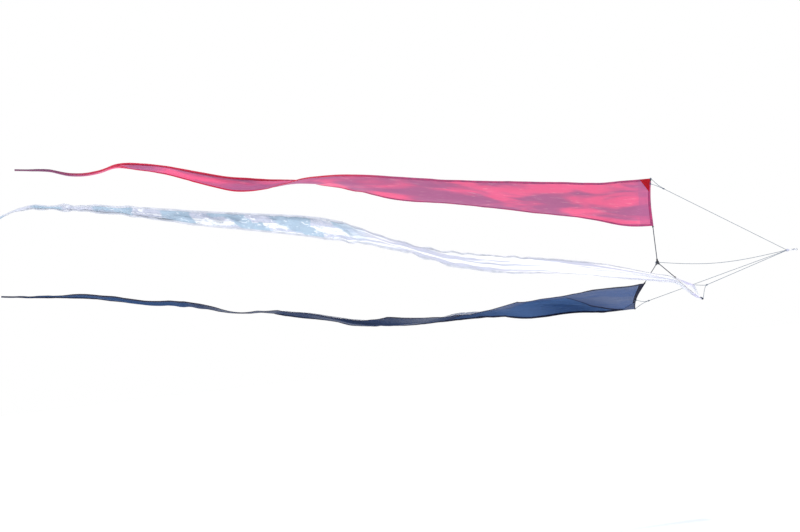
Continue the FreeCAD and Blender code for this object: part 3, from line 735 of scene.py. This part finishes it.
def rod_forward(colour, out):
    """How far forward the swept rod lies, at an array of distances out from the hub."""
    reach = ARM_REACH - TIP_STRAIGHT
    rise = reach - STRAIGHT_REACH
    lean = 2 * math.atan2(TIP_SWEEP[colour] / (1 + 2 * TIP_STRAIGHT / rise), rise)
    bend = rise / math.sin(lean)
    bent = np.clip(np.asarray(out, float) - STRAIGHT_REACH, 0, rise)
    return bend - np.sqrt(bend**2 - bent**2) + np.clip(out - reach, 0, None) * math.tan(lean)


print("courses:", {colour: len(course) for colour, course in COURSES.items()})

# %% [markdown]
# Cloth can't stretch, so a fold is best described by how much the cross-section turns, not by how far it
# is pushed. The turning is added up across the cloth and then followed like a path, which keeps the width
# that it was cut to. Each fold says where it starts and ends along the streamer, where it lies across it,
# and how sharply it turns. Small crumples, straight-sided like creased paper, are added on top.

# %% Folds and crumples
# (from, to, place across at each end, turn in degrees, softness across)
FOLDS = {
    "red": [
        (0.05, 1.55, 0.30, 0.20, 34, 0.22), (0.10, 1.45, -0.28, -0.15, 38, 0.25),
        (0.45, 1.30, 0.02, 0.08, -26, 0.12), (1.30, 2.20, 0.10, -0.10, 50, 0.20),
        (1.75, 2.60, -0.20, 0.10, 46, 0.20), (2.30, 2.87, 0.0, 0.0, 70, 0.25),
    ],
    "white": [
        (0.02, 1.45, 0.30, 0.18, 66, 0.05), (0.02, 1.50, 0.08, -0.05, -82, 0.04),
        (0.03, 1.55, -0.20, -0.24, 70, 0.05), (0.60, 1.60, 0.40, 0.32, -50, 0.04),
        (1.45, 2.30, -0.30, -0.20, 40, 0.10), (1.60, 2.95, 0.25, 0.10, 36, 0.10),
    ],
    "blue": [
        (0.03, 0.66, 0.47, 0.0, 96, 0.025), (0.55, 1.50, 0.42, -0.10, 70, 0.04),
        (0.90, 1.75, 0.15, 0.0, -85, 0.05), (1.30, 1.80, -0.20, 0.05, 85, 0.06),
        (2.05, 2.75, 0.15, -0.05, -75, 0.06), (2.2, 2.96, -0.1, 0.1, 50, 0.12),
    ],
}
# height of the crumples, their length along the cloth, and how far behind the arm they begin and are full
CRUMPLES = {
    "red": (0.0022, 0.110, 0.02, 0.30),
    "white": (0.0085, 0.060, 0.03, 1.40),
    "blue": (0.0030, 0.090, 0.02, 0.25),
}
CRUMPLE_SLANTS = (52, -38, 81, -8)
ACROSS_SAMPLES = 81


def creased(phase):
    """A wave with straight sides, from -1 to 1."""
    return 4 * np.abs(phase - np.floor(phase + 0.5)) - 1


def crumple_height(colour, along, across):
    """The height of the small creases at arrays of places on the flat cloth, in metres."""
    height, length, start, full = CRUMPLES[colour]
    seed = 7.3 * list(ARM_TURN).index(colour)
    wander = np.array([
        [noise.noise(Vector((s * 6, v * 9, seed))), noise.noise(Vector((s * 5, v * 8, seed + 40)))]
        for s, v in zip(along.ravel(), across.ravel())
    ]).reshape(*along.shape, 2)
    total = np.zeros_like(along)
    for k, slant in enumerate(CRUMPLE_SLANTS):
        turn = math.radians(slant)
        run = along * math.cos(turn) + across * math.sin(turn)
        phase = run / (length * (1 + 0.37 * k)) + 0.9 * wander[..., k % 2] + 0.31 * k
        total += creased(phase) / (1 + 0.35 * k)
    loud = 0.35 + 0.65 * np.clip(0.5 + 1.6 * wander[..., 0], 0, 1)
    return height * total * 0.5 * loud * step(along, start, full)


def cloth_points(colour, along, shares):
    """Points of a streamer's cloth: along is metres behind the arm, shares run -0.5 to 0.5 across."""
    course = np.array(COURSES[colour], float)
    centre = np.stack([smooth_track(course[:, 0], course[:, k], along) for k in (1, 2)], 1)
    roll = np.radians(smooth_track(course[:, 0], course[:, 3], along))
    width = cut_width(along)
    fine = np.linspace(-0.5, 0.5, ACROSS_SAMPLES)
    turning = np.zeros((len(along), ACROSS_SAMPLES))
    for start, stop, place, last_place, turn, softness in FOLDS[colour]:
        share = np.clip((along - start) / (stop - start), 0, 1)
        place_now = place + (last_place - place) * share
        strength = np.radians(turn) * np.sin(np.pi * share) ** 0.7
        low, high = place_now[:, None] - softness, place_now[:, None] + softness
        turning += strength[:, None] * step(fine[None, :], low, high)
    turning -= turning.mean(1, keepdims=True)
    pitch = width[:, None] / (ACROSS_SAMPLES - 1)
    sideways = np.cumsum(np.cos(turning) * pitch, 1)
    lifted = np.cumsum(np.sin(turning) * pitch, 1)
    sideways -= sideways.mean(1, keepdims=True)
    lifted -= lifted.mean(1, keepdims=True)
    edge_a = np.stack([np.zeros_like(roll), np.cos(roll), np.sin(roll)], 1)
    edge_n = np.stack([np.zeros_like(roll), np.sin(roll), -np.cos(roll)], 1)
    lattice_s, lattice_v = np.meshgrid(along, shares, indexing="ij")
    side = np.array([np.interp(shares, fine, row) for row in sideways])
    lift = np.array([np.interp(shares, fine, row) for row in lifted])
    lift += crumple_height(colour, lattice_s, lattice_v * width[:, None])
    points = edge_a[:, None, :] * side[..., None] + edge_n[:, None, :] * lift[..., None]
    points[..., 1] += centre[:, 0, None]
    points[..., 2] += centre[:, 1, None]
    points[..., 0] = -BRIDLE_HEIGHT - along[:, None]
    out = np.hypot(points[..., 1], points[..., 2])
    points[..., 0] += rod_forward(colour, out) * (1 - step(along, 0.0, 0.12))[:, None]
    return points


print("folds:", {colour: len(folds) for colour, folds in FOLDS.items()})

# %% [markdown]
# A streamer starts as a flat grid, the way a cloth pattern does. Its grid corners are then carried to
# their places on the course. Solidify gives the cloth its thickness. The UV map is laid out in metres,
# along and across the cut, so that the weave has its true size everywhere.

# %% Cloth helpers
def select_only(piece):
    bpy.ops.object.select_all(action="DESELECT")
    piece.select_set(True)
    bpy.context.view_layer.objects.active = piece


def apply_modifier(piece, kind, **settings):
    select_only(piece)
    modifier = piece.modifiers.new(kind.lower(), kind)
    for key, value in settings.items():
        setattr(modifier, key, value)
    bpy.ops.object.modifier_apply(modifier=modifier.name)


def flat_grid(name, columns, rows):
    """A flat grid with columns along X and rows along Y, and the column and row of each vertex."""
    bpy.ops.object.select_all(action="DESELECT")
    bpy.ops.mesh.primitive_grid_add(x_subdivisions=columns, y_subdivisions=rows, size=2)
    piece = bpy.context.object
    piece.name = name
    flat = np.zeros(len(piece.data.vertices) * 3)
    piece.data.vertices.foreach_get("co", flat)
    flat = flat.reshape(-1, 3)
    column = np.rint((flat[:, 0] + 1) / 2 * columns).astype(int)
    row = np.rint((flat[:, 1] + 1) / 2 * rows).astype(int)
    return piece, column, row


def place_grid(piece, column, row, points, lengths, widths):
    """Carries the grid's vertices to points[column, row] and writes its UV map from lengths and widths."""
    piece.data.vertices.foreach_set("co", points[column, row].astype(np.float32).ravel())
    corners = np.zeros(len(piece.data.loops), int)
    piece.data.loops.foreach_get("vertex_index", corners)
    spread = np.stack([lengths[column[corners], row[corners]], widths[column[corners], row[corners]]], 1)
    piece.data.uv_layers["UVMap"].data.foreach_set("uv", spread.astype(np.float32).ravel())
    piece.data.update()


def finish_cloth(piece, thickness, material):
    """Gives a sheet its thickness and smooth faces."""
    apply_modifier(piece, "SOLIDIFY", thickness=thickness, offset=0)
    piece.data.materials.append(material)
    select_only(piece)
    bpy.ops.object.shade_smooth()


def join_pieces(pieces):
    """Joins pieces into the first one."""
    select_only(pieces[0])
    for piece in pieces[1:]:
        piece.select_set(True)
    bpy.ops.object.join()
    return pieces[0]


def hang_from_arm(piece):
    """Bakes the piece's placement into its mesh."""
    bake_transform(piece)


def hem_share(along):
    """The hem's share of the cloth's width, which is capped where the tail is narrow."""
    return np.minimum(HEM_WIDTH / cut_width(along), HEM_SHARE)


print("cloth helpers ready")

# %% [markdown]
# The panel is the main piece of each streamer. It reaches from the rod to the tail's end, between the two
# hems, in even steps.

# %% Streamer panels
ALONG_STEPS, ACROSS_STEPS = 560, 30
PANEL_START = 0.002  # metres behind the arms


def end_of(colour):
    return COURSES[colour][-1][0]


def make_panel(colour):
    piece, column, row = flat_grid(f"{colour}_panel_cloth", ALONG_STEPS, ACROSS_STEPS)
    along = np.linspace(PANEL_START, end_of(colour), ALONG_STEPS + 1)
    shares = np.linspace(-0.5, 0.5, ACROSS_STEPS + 1)
    points = cloth_points(colour, along, shares)
    lengths = np.repeat(along[:, None], ACROSS_STEPS + 1, 1)
    widths = shares[None, :] * cut_width(along)[:, None]
    place_grid(piece, column, row, points, lengths, widths)
    finish_cloth(piece, CLOTH_THICKNESS, CLOTH[colour])
    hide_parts(f"{colour}_panel")
    hang_from_arm(piece)
    return piece


PANELS = {colour: make_panel(colour) for colour in ARM_TURN}
for panel in PANELS.values():
    print(panel.name, len(panel.data.polygons), "faces")

# %% [markdown]
# A hem is the edge of the cloth folded over twice and sewn. It is made as a narrow strip that follows the
# very edge of the panel, wrapped round it, a little thicker than the cloth.

# %% Hems
HEM_STEPS, EDGE_STEPS = 700, 60
HEM_START, HEM_STOP = 0.006, 0.001  # metres behind the arms, and short of the tail's end
HEM_CLOTH_THICKNESS = 0.00025
# the strip's outline: its reach inward as a share of the hem's width, and its lift off the cloth
HEM_PROFILE = ((1.0, 0.0009), (0.0, 0.0012), (-0.12, 0.0), (0.0, -0.0012), (1.0, -0.0009))
HEM_ACROSS = (0.008, 0.001, 0.0, 0.001, 0.008)  # the same outline across the UV map, in metres


def make_hem(colour, side, name):
    """side is 1 for the outer edge of the streamer and -1 for the inner one."""
    piece, column, row = flat_grid(f"{colour}_{name}_hem_fold", HEM_STEPS, len(HEM_PROFILE) - 1)
    along = np.linspace(HEM_START, end_of(colour) - HEM_STOP, HEM_STEPS + 1)
    share = hem_share(along)
    edge, inner = np.zeros((HEM_STEPS + 1, 3)), np.zeros((HEM_STEPS + 1, 3))
    lattice = cloth_points(colour, along, np.linspace(-0.5, 0.5, EDGE_STEPS + 1))
    for k in range(HEM_STEPS + 1):
        row_points = lattice[k] if side > 0 else lattice[k][::-1]
        edge[k] = row_points[-1]
        place = (1 - share[k]) * EDGE_STEPS
        low = int(place)
        inner[k] = row_points[low] + (row_points[low + 1] - row_points[low]) * (place - low)
    forward = np.gradient(edge, axis=0)
    normal = np.cross(forward, edge - inner)
    normal /= np.linalg.norm(normal, axis=1, keepdims=True)
    points = np.stack([edge + (inner - edge) * reach + normal * lift for reach, lift in HEM_PROFILE], 1)
    lengths = np.repeat(along[:, None], len(HEM_PROFILE), 1)
    widths = np.repeat(np.array([HEM_ACROSS]), HEM_STEPS + 1, 0)
    place_grid(piece, column, row, points, lengths, widths)
    finish_cloth(piece, HEM_CLOTH_THICKNESS, HEM[colour])
    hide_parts(f"{colour}_{name}_hem")
    hang_from_arm(piece)


for colour in ARM_TURN:
    make_hem(colour, 1, "outer")
    make_hem(colour, -1, "inner")
print("hems made")

# %% [markdown]
# The outer front corner of each streamer carries the pull of the yoke, so a triangle of stronger cloth is
# sewn on it, on both faces. It is a small grid squeezed to a triangle, laid along the panel's own
# surface.

# %% Corner patches
PATCH_ALONG_ARM, PATCH_ALONG_HEM = 0.067, 0.055
PATCH_STEPS, SURFACE_STEPS = 14, 200
PATCH_START, PATCH_LIFT, PATCH_THICKNESS = 0.001, 0.0015, 0.0004


def make_patch(colour):
    sides = []
    for side in (1, -1):
        piece, column, row = flat_grid(f"{colour}_patch_side", PATCH_STEPS, PATCH_STEPS)
        points = np.zeros((PATCH_STEPS + 1, PATCH_STEPS + 1, 3))
        along = np.linspace(PATCH_START, PATCH_ALONG_HEM, PATCH_STEPS + 1)
        surface = cloth_points(colour, along, np.linspace(-0.5, 0.5, SURFACE_STEPS + 1))
        for k in range(PATCH_STEPS + 1):
            reach = PATCH_ALONG_ARM * (1 - k / PATCH_STEPS) / float(cut_width(along[k]))
            places = (1 - reach * np.linspace(0, 1, PATCH_STEPS + 1)) * SURFACE_STEPS
            low = np.clip(places.astype(int), 0, SURFACE_STEPS - 1)
            points[k] = surface[k][low] + (surface[k][low + 1] - surface[k][low]) * (places - low)[:, None]
        normal = np.cross(points[1, 0] - points[0, 0], points[0, -1] - points[0, 0])
        points += side * PATCH_LIFT * normal / np.linalg.norm(normal)
        lengths = np.repeat(along[:, None], PATCH_STEPS + 1, 1)
        widths = np.repeat(np.linspace(0, PATCH_ALONG_ARM, PATCH_STEPS + 1)[None, :], PATCH_STEPS + 1, 0)
        place_grid(piece, column, row, points, lengths, widths)
        sides.append(piece)
    patch = join_pieces(sides)
    patch.name = f"{colour}_patch_cloth"
    finish_cloth(patch, PATCH_THICKNESS, PATCH[colour])
    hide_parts(f"{colour}_corner_patch")
    hang_from_arm(patch)


for colour in ARM_TURN:
    make_patch(colour)
print("corner patches made")

# %% [markdown]
# The sleeve is the front edge of the cloth, turned back round the rod and sewn down, so its section is a
# loop with a flat tail. The white streamer's sleeve is slack: it bellies forward of its rod, and a lilac
# band of painted shade lies on its belly.

# %% Sleeves
SLEEVE_STEPS, LOOP_STEPS = 84, 28
SLEEVE_RADIUS, SLEEVE_THICKNESS, SLEEVE_CUT = 0.0033, 0.0003, 0.04
# how far the sleeve's tail reaches behind the rod, at its inner and outer end
SLEEVE_TAIL = {"red": (0.010, 0.010), "white": (0.004, 0.004), "blue": (0.030, 0.007)}
FLAP_PLACE, FLAP_REACH = 0.262, 0.046
# the white sleeve's lilac painted shade: between two distances out, and ahead of a share of the slack
SLEEVE_SHADE_BAND, SLEEVE_SHADE_AHEAD = (0.205, 0.262), 0.35


def sleeve_section(slack, tail):
    """The loop's outline as (forward, sideways), from one side of its tail round the rod to the other."""
    outline = []
    for k in range(LOOP_STEPS + 1):
        turn = math.pi * (k / LOOP_STEPS * 1.7 - 0.85)
        front = math.cos(turn)
        squeeze = 1 if front < 0 else 1 - front * min(1, slack / 0.02) * 0.5
        aside = SLEEVE_RADIUS * math.sin(turn) * squeeze
        outline.append((SLEEVE_RADIUS * front + slack * max(front, 0), aside))
    return [(-tail, -0.0007), *outline, (-tail, 0.0007)]


def arm_matrix(colour):
    """From an arm's own frame (X forward, Z out along the arm) to the row frame."""
    return Matrix.Translation((-BRIDLE_HEIGHT, 0, 0)) @ Matrix.Rotation(ARM_TURN[colour], 4, "X")


def flap(out):
    """How far the slack white sleeve is pulled forward, at a distance out along its arm."""
    rising = (out - SLEEVE_START) / (FLAP_PLACE - SLEEVE_START)
    falling = (SLEEVE_END - out) / (SLEEVE_END - FLAP_PLACE)
    return FLAP_REACH * np.clip(np.minimum(rising, falling), 0, 1) ** 1.15


def make_sleeve(colour):
    columns = LOOP_STEPS + 2
    piece, column, row = flat_grid(f"{colour}_sleeve_cloth", SLEEVE_STEPS, columns)
    out = np.linspace(SLEEVE_START, SLEEVE_END, SLEEVE_STEPS + 1)
    forward = rod_forward(colour, out)
    slack = flap(out) if colour == "white" else np.zeros(SLEEVE_STEPS + 1)
    share = np.linspace(0, 1, SLEEVE_STEPS + 1)
    inner_tail, outer_tail = SLEEVE_TAIL[colour]
    points = np.zeros((SLEEVE_STEPS + 1, columns + 1, 3))
    for k in range(SLEEVE_STEPS + 1):
        tail = inner_tail + (outer_tail - inner_tail) * share[k] ** 0.6
        for n, (ahead, aside) in enumerate(sleeve_section(slack[k], tail)):
            points[k, n] = (forward[k] + ahead, aside, out[k])
    lengths = np.repeat(out[:, None], columns + 1, 1)
    widths = np.repeat(np.linspace(0, SLEEVE_CUT, columns + 1)[None, :], SLEEVE_STEPS + 1, 0)
    place_grid(piece, column, row, points, lengths, widths)
    finish_cloth(piece, SLEEVE_THICKNESS, CLOTH["white"] if colour == "white" else HEM[colour])
    # The white sleeve's belly takes the lilac patch cloth, as painted shade.
    if colour == "white":
        piece.data.materials.append(PATCH["white"])
        for face in piece.data.polygons:
            inside = SLEEVE_SHADE_BAND[0] < face.center.z < SLEEVE_SHADE_BAND[1]
            if inside and face.center.x > SLEEVE_SHADE_AHEAD * float(flap(np.array(face.center.z))):
                face.material_index = 1
    piece.data.transform(arm_matrix(colour))
    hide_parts(f"{colour}_sleeve")
    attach(piece, f"{colour}_arm")


for colour in ARM_TURN:
    make_sleeve(colour)
print("sleeves made")

# %% [markdown]
# A bridle cord is a thin tube. Its route is a short list of points, the same as in the CAD model, and a
# smooth NURBS curve follows them. The curve is read back as a line of points, and a ring of vertices is
# carried along it, so that the braid's UV map can run along the cord and around it.

# %% Cord helpers
RING, STRAIGHT_STEPS, CURVE_STEPS = 10, 60, 16
PULLED_TIGHT = 0.48  # radius of a tight cord as a share of the slack cord's diameter


def nurbs_line(route):
    """Points along the smooth curve that has the route's points as its control points."""
    if len(route) == 2:
        start, end = Vector(route[0]), Vector(route[1])
        return [start.lerp(end, k / STRAIGHT_STEPS) for k in range(STRAIGHT_STEPS + 1)]
    data = bpy.data.curves.new("route", "CURVE")
    data.dimensions = "3D"
    data.resolution_u = CURVE_STEPS
    spline = data.splines.new("NURBS")
    spline.points.add(len(route) - 1)
    for point, place in zip(spline.points, route):
        point.co = (*place, 1)
    spline.order_u = 3
    spline.use_endpoint_u = True
    guide = bpy.data.objects.new("route", data)
    bpy.context.scene.collection.objects.link(guide)
    mesh = bpy.data.meshes.new_from_object(guide)
    line = [v.co.copy() for v in mesh.vertices]
    bpy.data.objects.remove(guide)
    bpy.data.meshes.remove(mesh)
    return line


def tube(name, line, radius, material, closed=False):
    """A tube mesh along a line of points, with its UV map in metres along it and 0 to 1 round it."""
    count = len(line)
    piece, column, row = flat_grid(name, count if closed else count - 1, RING)
    points = np.zeros((count + (1 if closed else 0), RING + 1, 3))
    lengths = np.zeros((count + (1 if closed else 0), RING + 1))
    side, walked = None, 0.0
    for k in range(len(points)):
        here = line[k % count]
        if closed:
            ahead = (line[(k + 1) % count] - line[(k - 1) % count]).normalized()
        else:
            ahead = (line[min(k + 1, count - 1)] - line[max(k - 1, 0)]).normalized()
        if side is None:
            side = ahead.orthogonal().normalized()
        side = (side - ahead * side.dot(ahead)).normalized()
        other = ahead.cross(side)
        if k:
            walked += (here - line[(k - 1) % count]).length
        for n in range(RING + 1):
            turn = 2 * math.pi * n / RING
            points[k, n] = here + side * (radius * math.cos(turn)) + other * (radius * math.sin(turn))
        lengths[k] = walked
    widths = np.repeat(np.linspace(0, 1, RING + 1)[None, :], len(points), 0)
    place_grid(piece, column, row, points, lengths, widths)
    select_only(piece)
    bpy.ops.object.mode_set(mode="EDIT")
    bpy.ops.mesh.select_all(action="SELECT")
    bpy.ops.mesh.remove_doubles(threshold=0.00002)
    if not closed:
        bpy.ops.mesh.select_all(action="DESELECT")
        bpy.ops.mesh.select_non_manifold()
        bpy.ops.mesh.edge_face_add()
    bpy.ops.mesh.select_all(action="SELECT")
    bpy.ops.mesh.normals_make_consistent(inside=False)
    bpy.ops.object.mode_set(mode="OBJECT")
    piece.data.materials.append(material)
    bpy.ops.object.shade_smooth()
    return piece


def make_cord(part, line, radius=CORD_DIAMETER / 2, material=CORD, closed=False):
    """A tube of cord in the place of the CAD part of that name."""
    piece = tube(f"{part}_cord", line, radius, material, closed)
    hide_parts(part)
    return piece


def line_length(line):
    return sum((b - a).length for a, b in zip(line, line[1:]))


print("cord helpers ready")

# %% [markdown]
# Each arm has a yoke of two strands, which meet and then run side by side to a knot, and from there one
# taut leg runs to the head of the bridle. The routes lie in the arm's own plane: (forward, out).

# %% Bridle yokes and legs
YOKES = {
    "red": {"rod": 0.374, "merge": (0.050, 0.366), "knot": (0.083, 0.347)},
    "white": {"rod": 0.243, "merge": (0.087, 0.281), "knot": (0.105, 0.273)},
    "blue": {"rod": 0.318, "merge": (0.062, 0.349), "knot": (0.089, 0.337)},
}
KNOT_LENGTH, STRAND_SPACING = 0.010, 0.0024
CAP_CLEAR, SLEEVE_CLEAR, TIE_INSET = 0.0044, 0.0041, 0.002
LEG_END = (BRIDLE_HEIGHT - 0.0618, 0.004)
BURIED = 0.005  # how far a leg's end is buried in the whipping
TIE_TURNS, TIE_STEPS = 2, 24
CAP_TIE_RADIUS, SLEEVE_TIE_RADIUS = 0.0041, 0.0044


def in_plane(forward_out):
    return Vector((forward_out[0], 0, forward_out[1]))


def make_yoke(colour):
    yoke, to_row = YOKES[colour], arm_matrix(colour)
    merge, knot = in_plane(yoke["merge"]), in_plane(yoke["knot"])
    run = (knot - merge).normalized()
    beside = Vector((-run.z, 0, run.x)) * (STRAND_SPACING / 2)
    short = run * (KNOT_LENGTH / 2 - 0.001)
    tip_forward = float(rod_forward(colour, ARM_REACH))
    tie_forward = float(rod_forward(colour, yoke["rod"]))
    starts = {
        "outer": Vector((tip_forward + CAP_CLEAR, 0, ARM_REACH - TIE_INSET)),
        "inner": Vector((tie_forward + SLEEVE_CLEAR, 0, yoke["rod"])),
    }
    for name, start in starts.items():
        aside = beside if name == "outer" else -beside
        route = [to_row @ start, to_row @ (merge + aside), to_row @ (knot - short + aside)]
        line = nurbs_line(route)
        strand = make_cord(f"{colour}_yoke_{name}", line)
        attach(strand, f"{colour}_arm")


def make_leg(colour):
    to_row = arm_matrix(colour)
    knot, head = in_plane(YOKES[colour]["knot"]), in_plane(LEG_END)
    run = (head - knot).normalized()
    start, end = to_row @ (knot + run * (KNOT_LENGTH / 2 - 0.001)), to_row @ (head + run * BURIED)
    line = nurbs_line([start, end])
    leg = make_cord(f"{colour}_leg", line)
    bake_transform(leg)
    return to_row @ knot, (to_row.to_3x3() @ run).normalized()


KNOT_SEATS = {}
for colour in ARM_TURN:
    make_yoke(colour)
    KNOT_SEATS[colour] = make_leg(colour)


def tie(name, colour, forward, out, radius):
    """Two close turns of cord round an arm, where a yoke strand is tied on."""
    line = []
    for k in range(TIE_TURNS * TIE_STEPS + 1):
        turn = 2 * math.pi * k / TIE_STEPS
        shifted = out + CORD_DIAMETER * (k / TIE_STEPS - 1)
        line.append(arm_matrix(colour) @ Vector((
            forward + radius * math.cos(turn), radius * math.sin(turn), shifted,
        )))
    piece = tube(name, line, CORD_DIAMETER * PULLED_TIGHT, CORD)
    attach(piece, f"{colour}_arm")
    return piece


for colour, yoke in YOKES.items():
    tip_place = ARM_REACH - TIE_INSET
    tie(f"{colour}_cap_tie", colour, float(rod_forward(colour, tip_place)), tip_place, CAP_TIE_RADIUS)
    if colour != "white":
        place = yoke["rod"]
        tie(f"{colour}_sleeve_tie", colour, float(rod_forward(colour, place)), place, SLEEVE_TIE_RADIUS)
print("yokes and legs made")

# %% [markdown]
# The centre line is slack, so it hangs in a long shallow curve between the hub and the head of the
# bridle.

# %% Centre line
CENTRE_ROUTE = [
    (-0.767, 0, 0), (-0.720, 0, -0.0065), (-0.660, 0, -0.0145), (-0.600, 0, -0.021), (-0.540, 0, -0.026),
    (-0.480, 0, -0.029), (-0.420, 0, -0.0295), (-0.360, 0, -0.028), (-0.300, 0, -0.0245),
    (-0.240, 0, -0.0195), (-0.180, 0, -0.0135), (-0.120, 0, -0.007), (-0.060, 0, 0),
]
line = nurbs_line(CENTRE_ROUTE)
centre_line = make_cord("centre_line", line)
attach(centre_line, "spinner")
print(f"centre line {line_length(line):.3f} m")

# %% [markdown]
# A tied knot is a cord that passes over and under itself. The curve of a trefoil does exactly that, and
# pulled long in the direction of the cord it reads as a knot drawn tight.

# %% Knots
KNOT_STEPS = 90
KNOT_SIZE, STOPPER_SIZE = (0.0062, 0.0095), (0.0058, 0.0062)  # across, long


def trefoil(centre, direction, across, length):
    """Points of a trefoil whose long axis is direction."""
    side = direction.orthogonal().normalized()
    other = direction.cross(side)
    points = []
    for k in range(KNOT_STEPS):
        t = 2 * math.pi * k / KNOT_STEPS
        ahead = math.sin(t) + 2 * math.sin(2 * t)
        aside = math.cos(t) - 2 * math.cos(2 * t)
        lift = -math.sin(3 * t)
        along = direction * (ahead * length / 6)
        points.append(centre + (along + side * (aside * across / 6) + other * (lift * across / 3.2)))
    return points


for colour, (seat, run) in KNOT_SEATS.items():
    line = trefoil(seat, run, *KNOT_SIZE)
    knot = make_cord(f"{colour}_yoke_knot", line, CORD_DIAMETER * PULLED_TIGHT, closed=True)
    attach(knot, f"{colour}_arm")

stopper_low, stopper_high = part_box("stopper_knot")
line = trefoil((stopper_low + stopper_high) / 2, Vector((1, 0, 0)), *STOPPER_SIZE)
stopper = make_cord("stopper_knot", line, CORD_DIAMETER * PULLED_TIGHT, closed=True)
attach(stopper, "spinner")
print("knots tied")

# %% [markdown]
# The head of the bridle is where all four cords are gathered and whipped: a cord wound in close turns
# round the bundle, fuller at the back and drawn in towards the swivel. The turns are a helix with a
# changing radius over a turned core, and the loop from it passes through the swivel's rear eye.

# %% Head knot and loop
head_low, head_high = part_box("head_knot")
HEAD_TURNS, HEAD_STEPS = 8, 26
WHIP_MARGIN, WHIP_CORD_RADIUS = 0.0015, 0.00095
LOOP_STEPS_STRAIGHT, LOOP_STEPS_BEND = 8, 16


def head_radius(share):
    """The whipping's radius from its back (0) to its front (1)."""
    return 0.0026 + 0.0030 * math.sin(math.pi * min(1.0, 0.18 + 0.74 * share)) ** 0.8


def whipping_line():
    points = []
    span = (head_high.x - head_low.x) - 2 * WHIP_MARGIN
    total = HEAD_TURNS * HEAD_STEPS
    for k in range(total + 1):
        share = k / total
        turn = 2 * math.pi * k / HEAD_STEPS
        radius = head_radius(share)
        points.append(Vector((
            head_low.x + WHIP_MARGIN + span * share, radius * math.cos(turn), radius * math.sin(turn),
        )))
    return points


whipping = tube("head_whipping", whipping_line(), WHIP_CORD_RADIUS, PALE_CORD)
bpy.ops.object.select_all(action="DESELECT")
bpy.ops.mesh.primitive_cylinder_add(
    vertices=24, radius=1, depth=head_high.x - head_low.x - 2 * WHIP_MARGIN, end_fill_type="TRIFAN",
    location=((head_low.x + head_high.x) / 2, 0, 0), rotation=(0, math.pi / 2, 0),
)
core = bpy.context.object
bpy.ops.object.transform_apply(location=True, rotation=True, scale=True)
bpy.ops.object.mode_set(mode="EDIT")
bpy.ops.mesh.select_all(action="SELECT")
bpy.ops.mesh.subdivide(number_cuts=8)
bpy.ops.object.mode_set(mode="OBJECT")
for vertex in core.data.vertices:
    share = (vertex.co.x - head_low.x) / (head_high.x - head_low.x)
    fat = head_radius(min(max(share, 0), 1)) - 0.0002
    vertex.co.y *= fat
    vertex.co.z *= fat
core.data.materials.append(PALE_CORD)
whipping = join_pieces([whipping, core])
whipping.name = "head_knot_whipping"
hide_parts("head_knot")
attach(whipping, "spinner")

loop_low, loop_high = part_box("head_loop")
LOOP_BEND = (loop_high.y - loop_low.y) / 2 - CORD_DIAMETER / 2
loop_front = loop_high.x - CORD_DIAMETER / 2 - LOOP_BEND
back_left, front_left = Vector((loop_low.x, LOOP_BEND, 0)), Vector((loop_front, LOOP_BEND, 0))
back_right, front_right = Vector((loop_low.x, -LOOP_BEND, 0)), Vector((loop_front, -LOOP_BEND, 0))
loop_line = [back_left.lerp(front_left, k / LOOP_STEPS_STRAIGHT) for k in range(LOOP_STEPS_STRAIGHT)]
for k in range(LOOP_STEPS_BEND + 1):
    turn = math.pi / 2 - math.pi * k / LOOP_STEPS_BEND
    loop_line.append(Vector((loop_front + LOOP_BEND * math.cos(turn), LOOP_BEND * math.sin(turn), 0)))
for k in range(1, LOOP_STEPS_STRAIGHT + 1):
    loop_line.append(front_right.lerp(back_right, k / LOOP_STEPS_STRAIGHT))
loop = make_cord("head_loop", loop_line, material=PALE_CORD)
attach(loop, "spinner")
print("head of the bridle made")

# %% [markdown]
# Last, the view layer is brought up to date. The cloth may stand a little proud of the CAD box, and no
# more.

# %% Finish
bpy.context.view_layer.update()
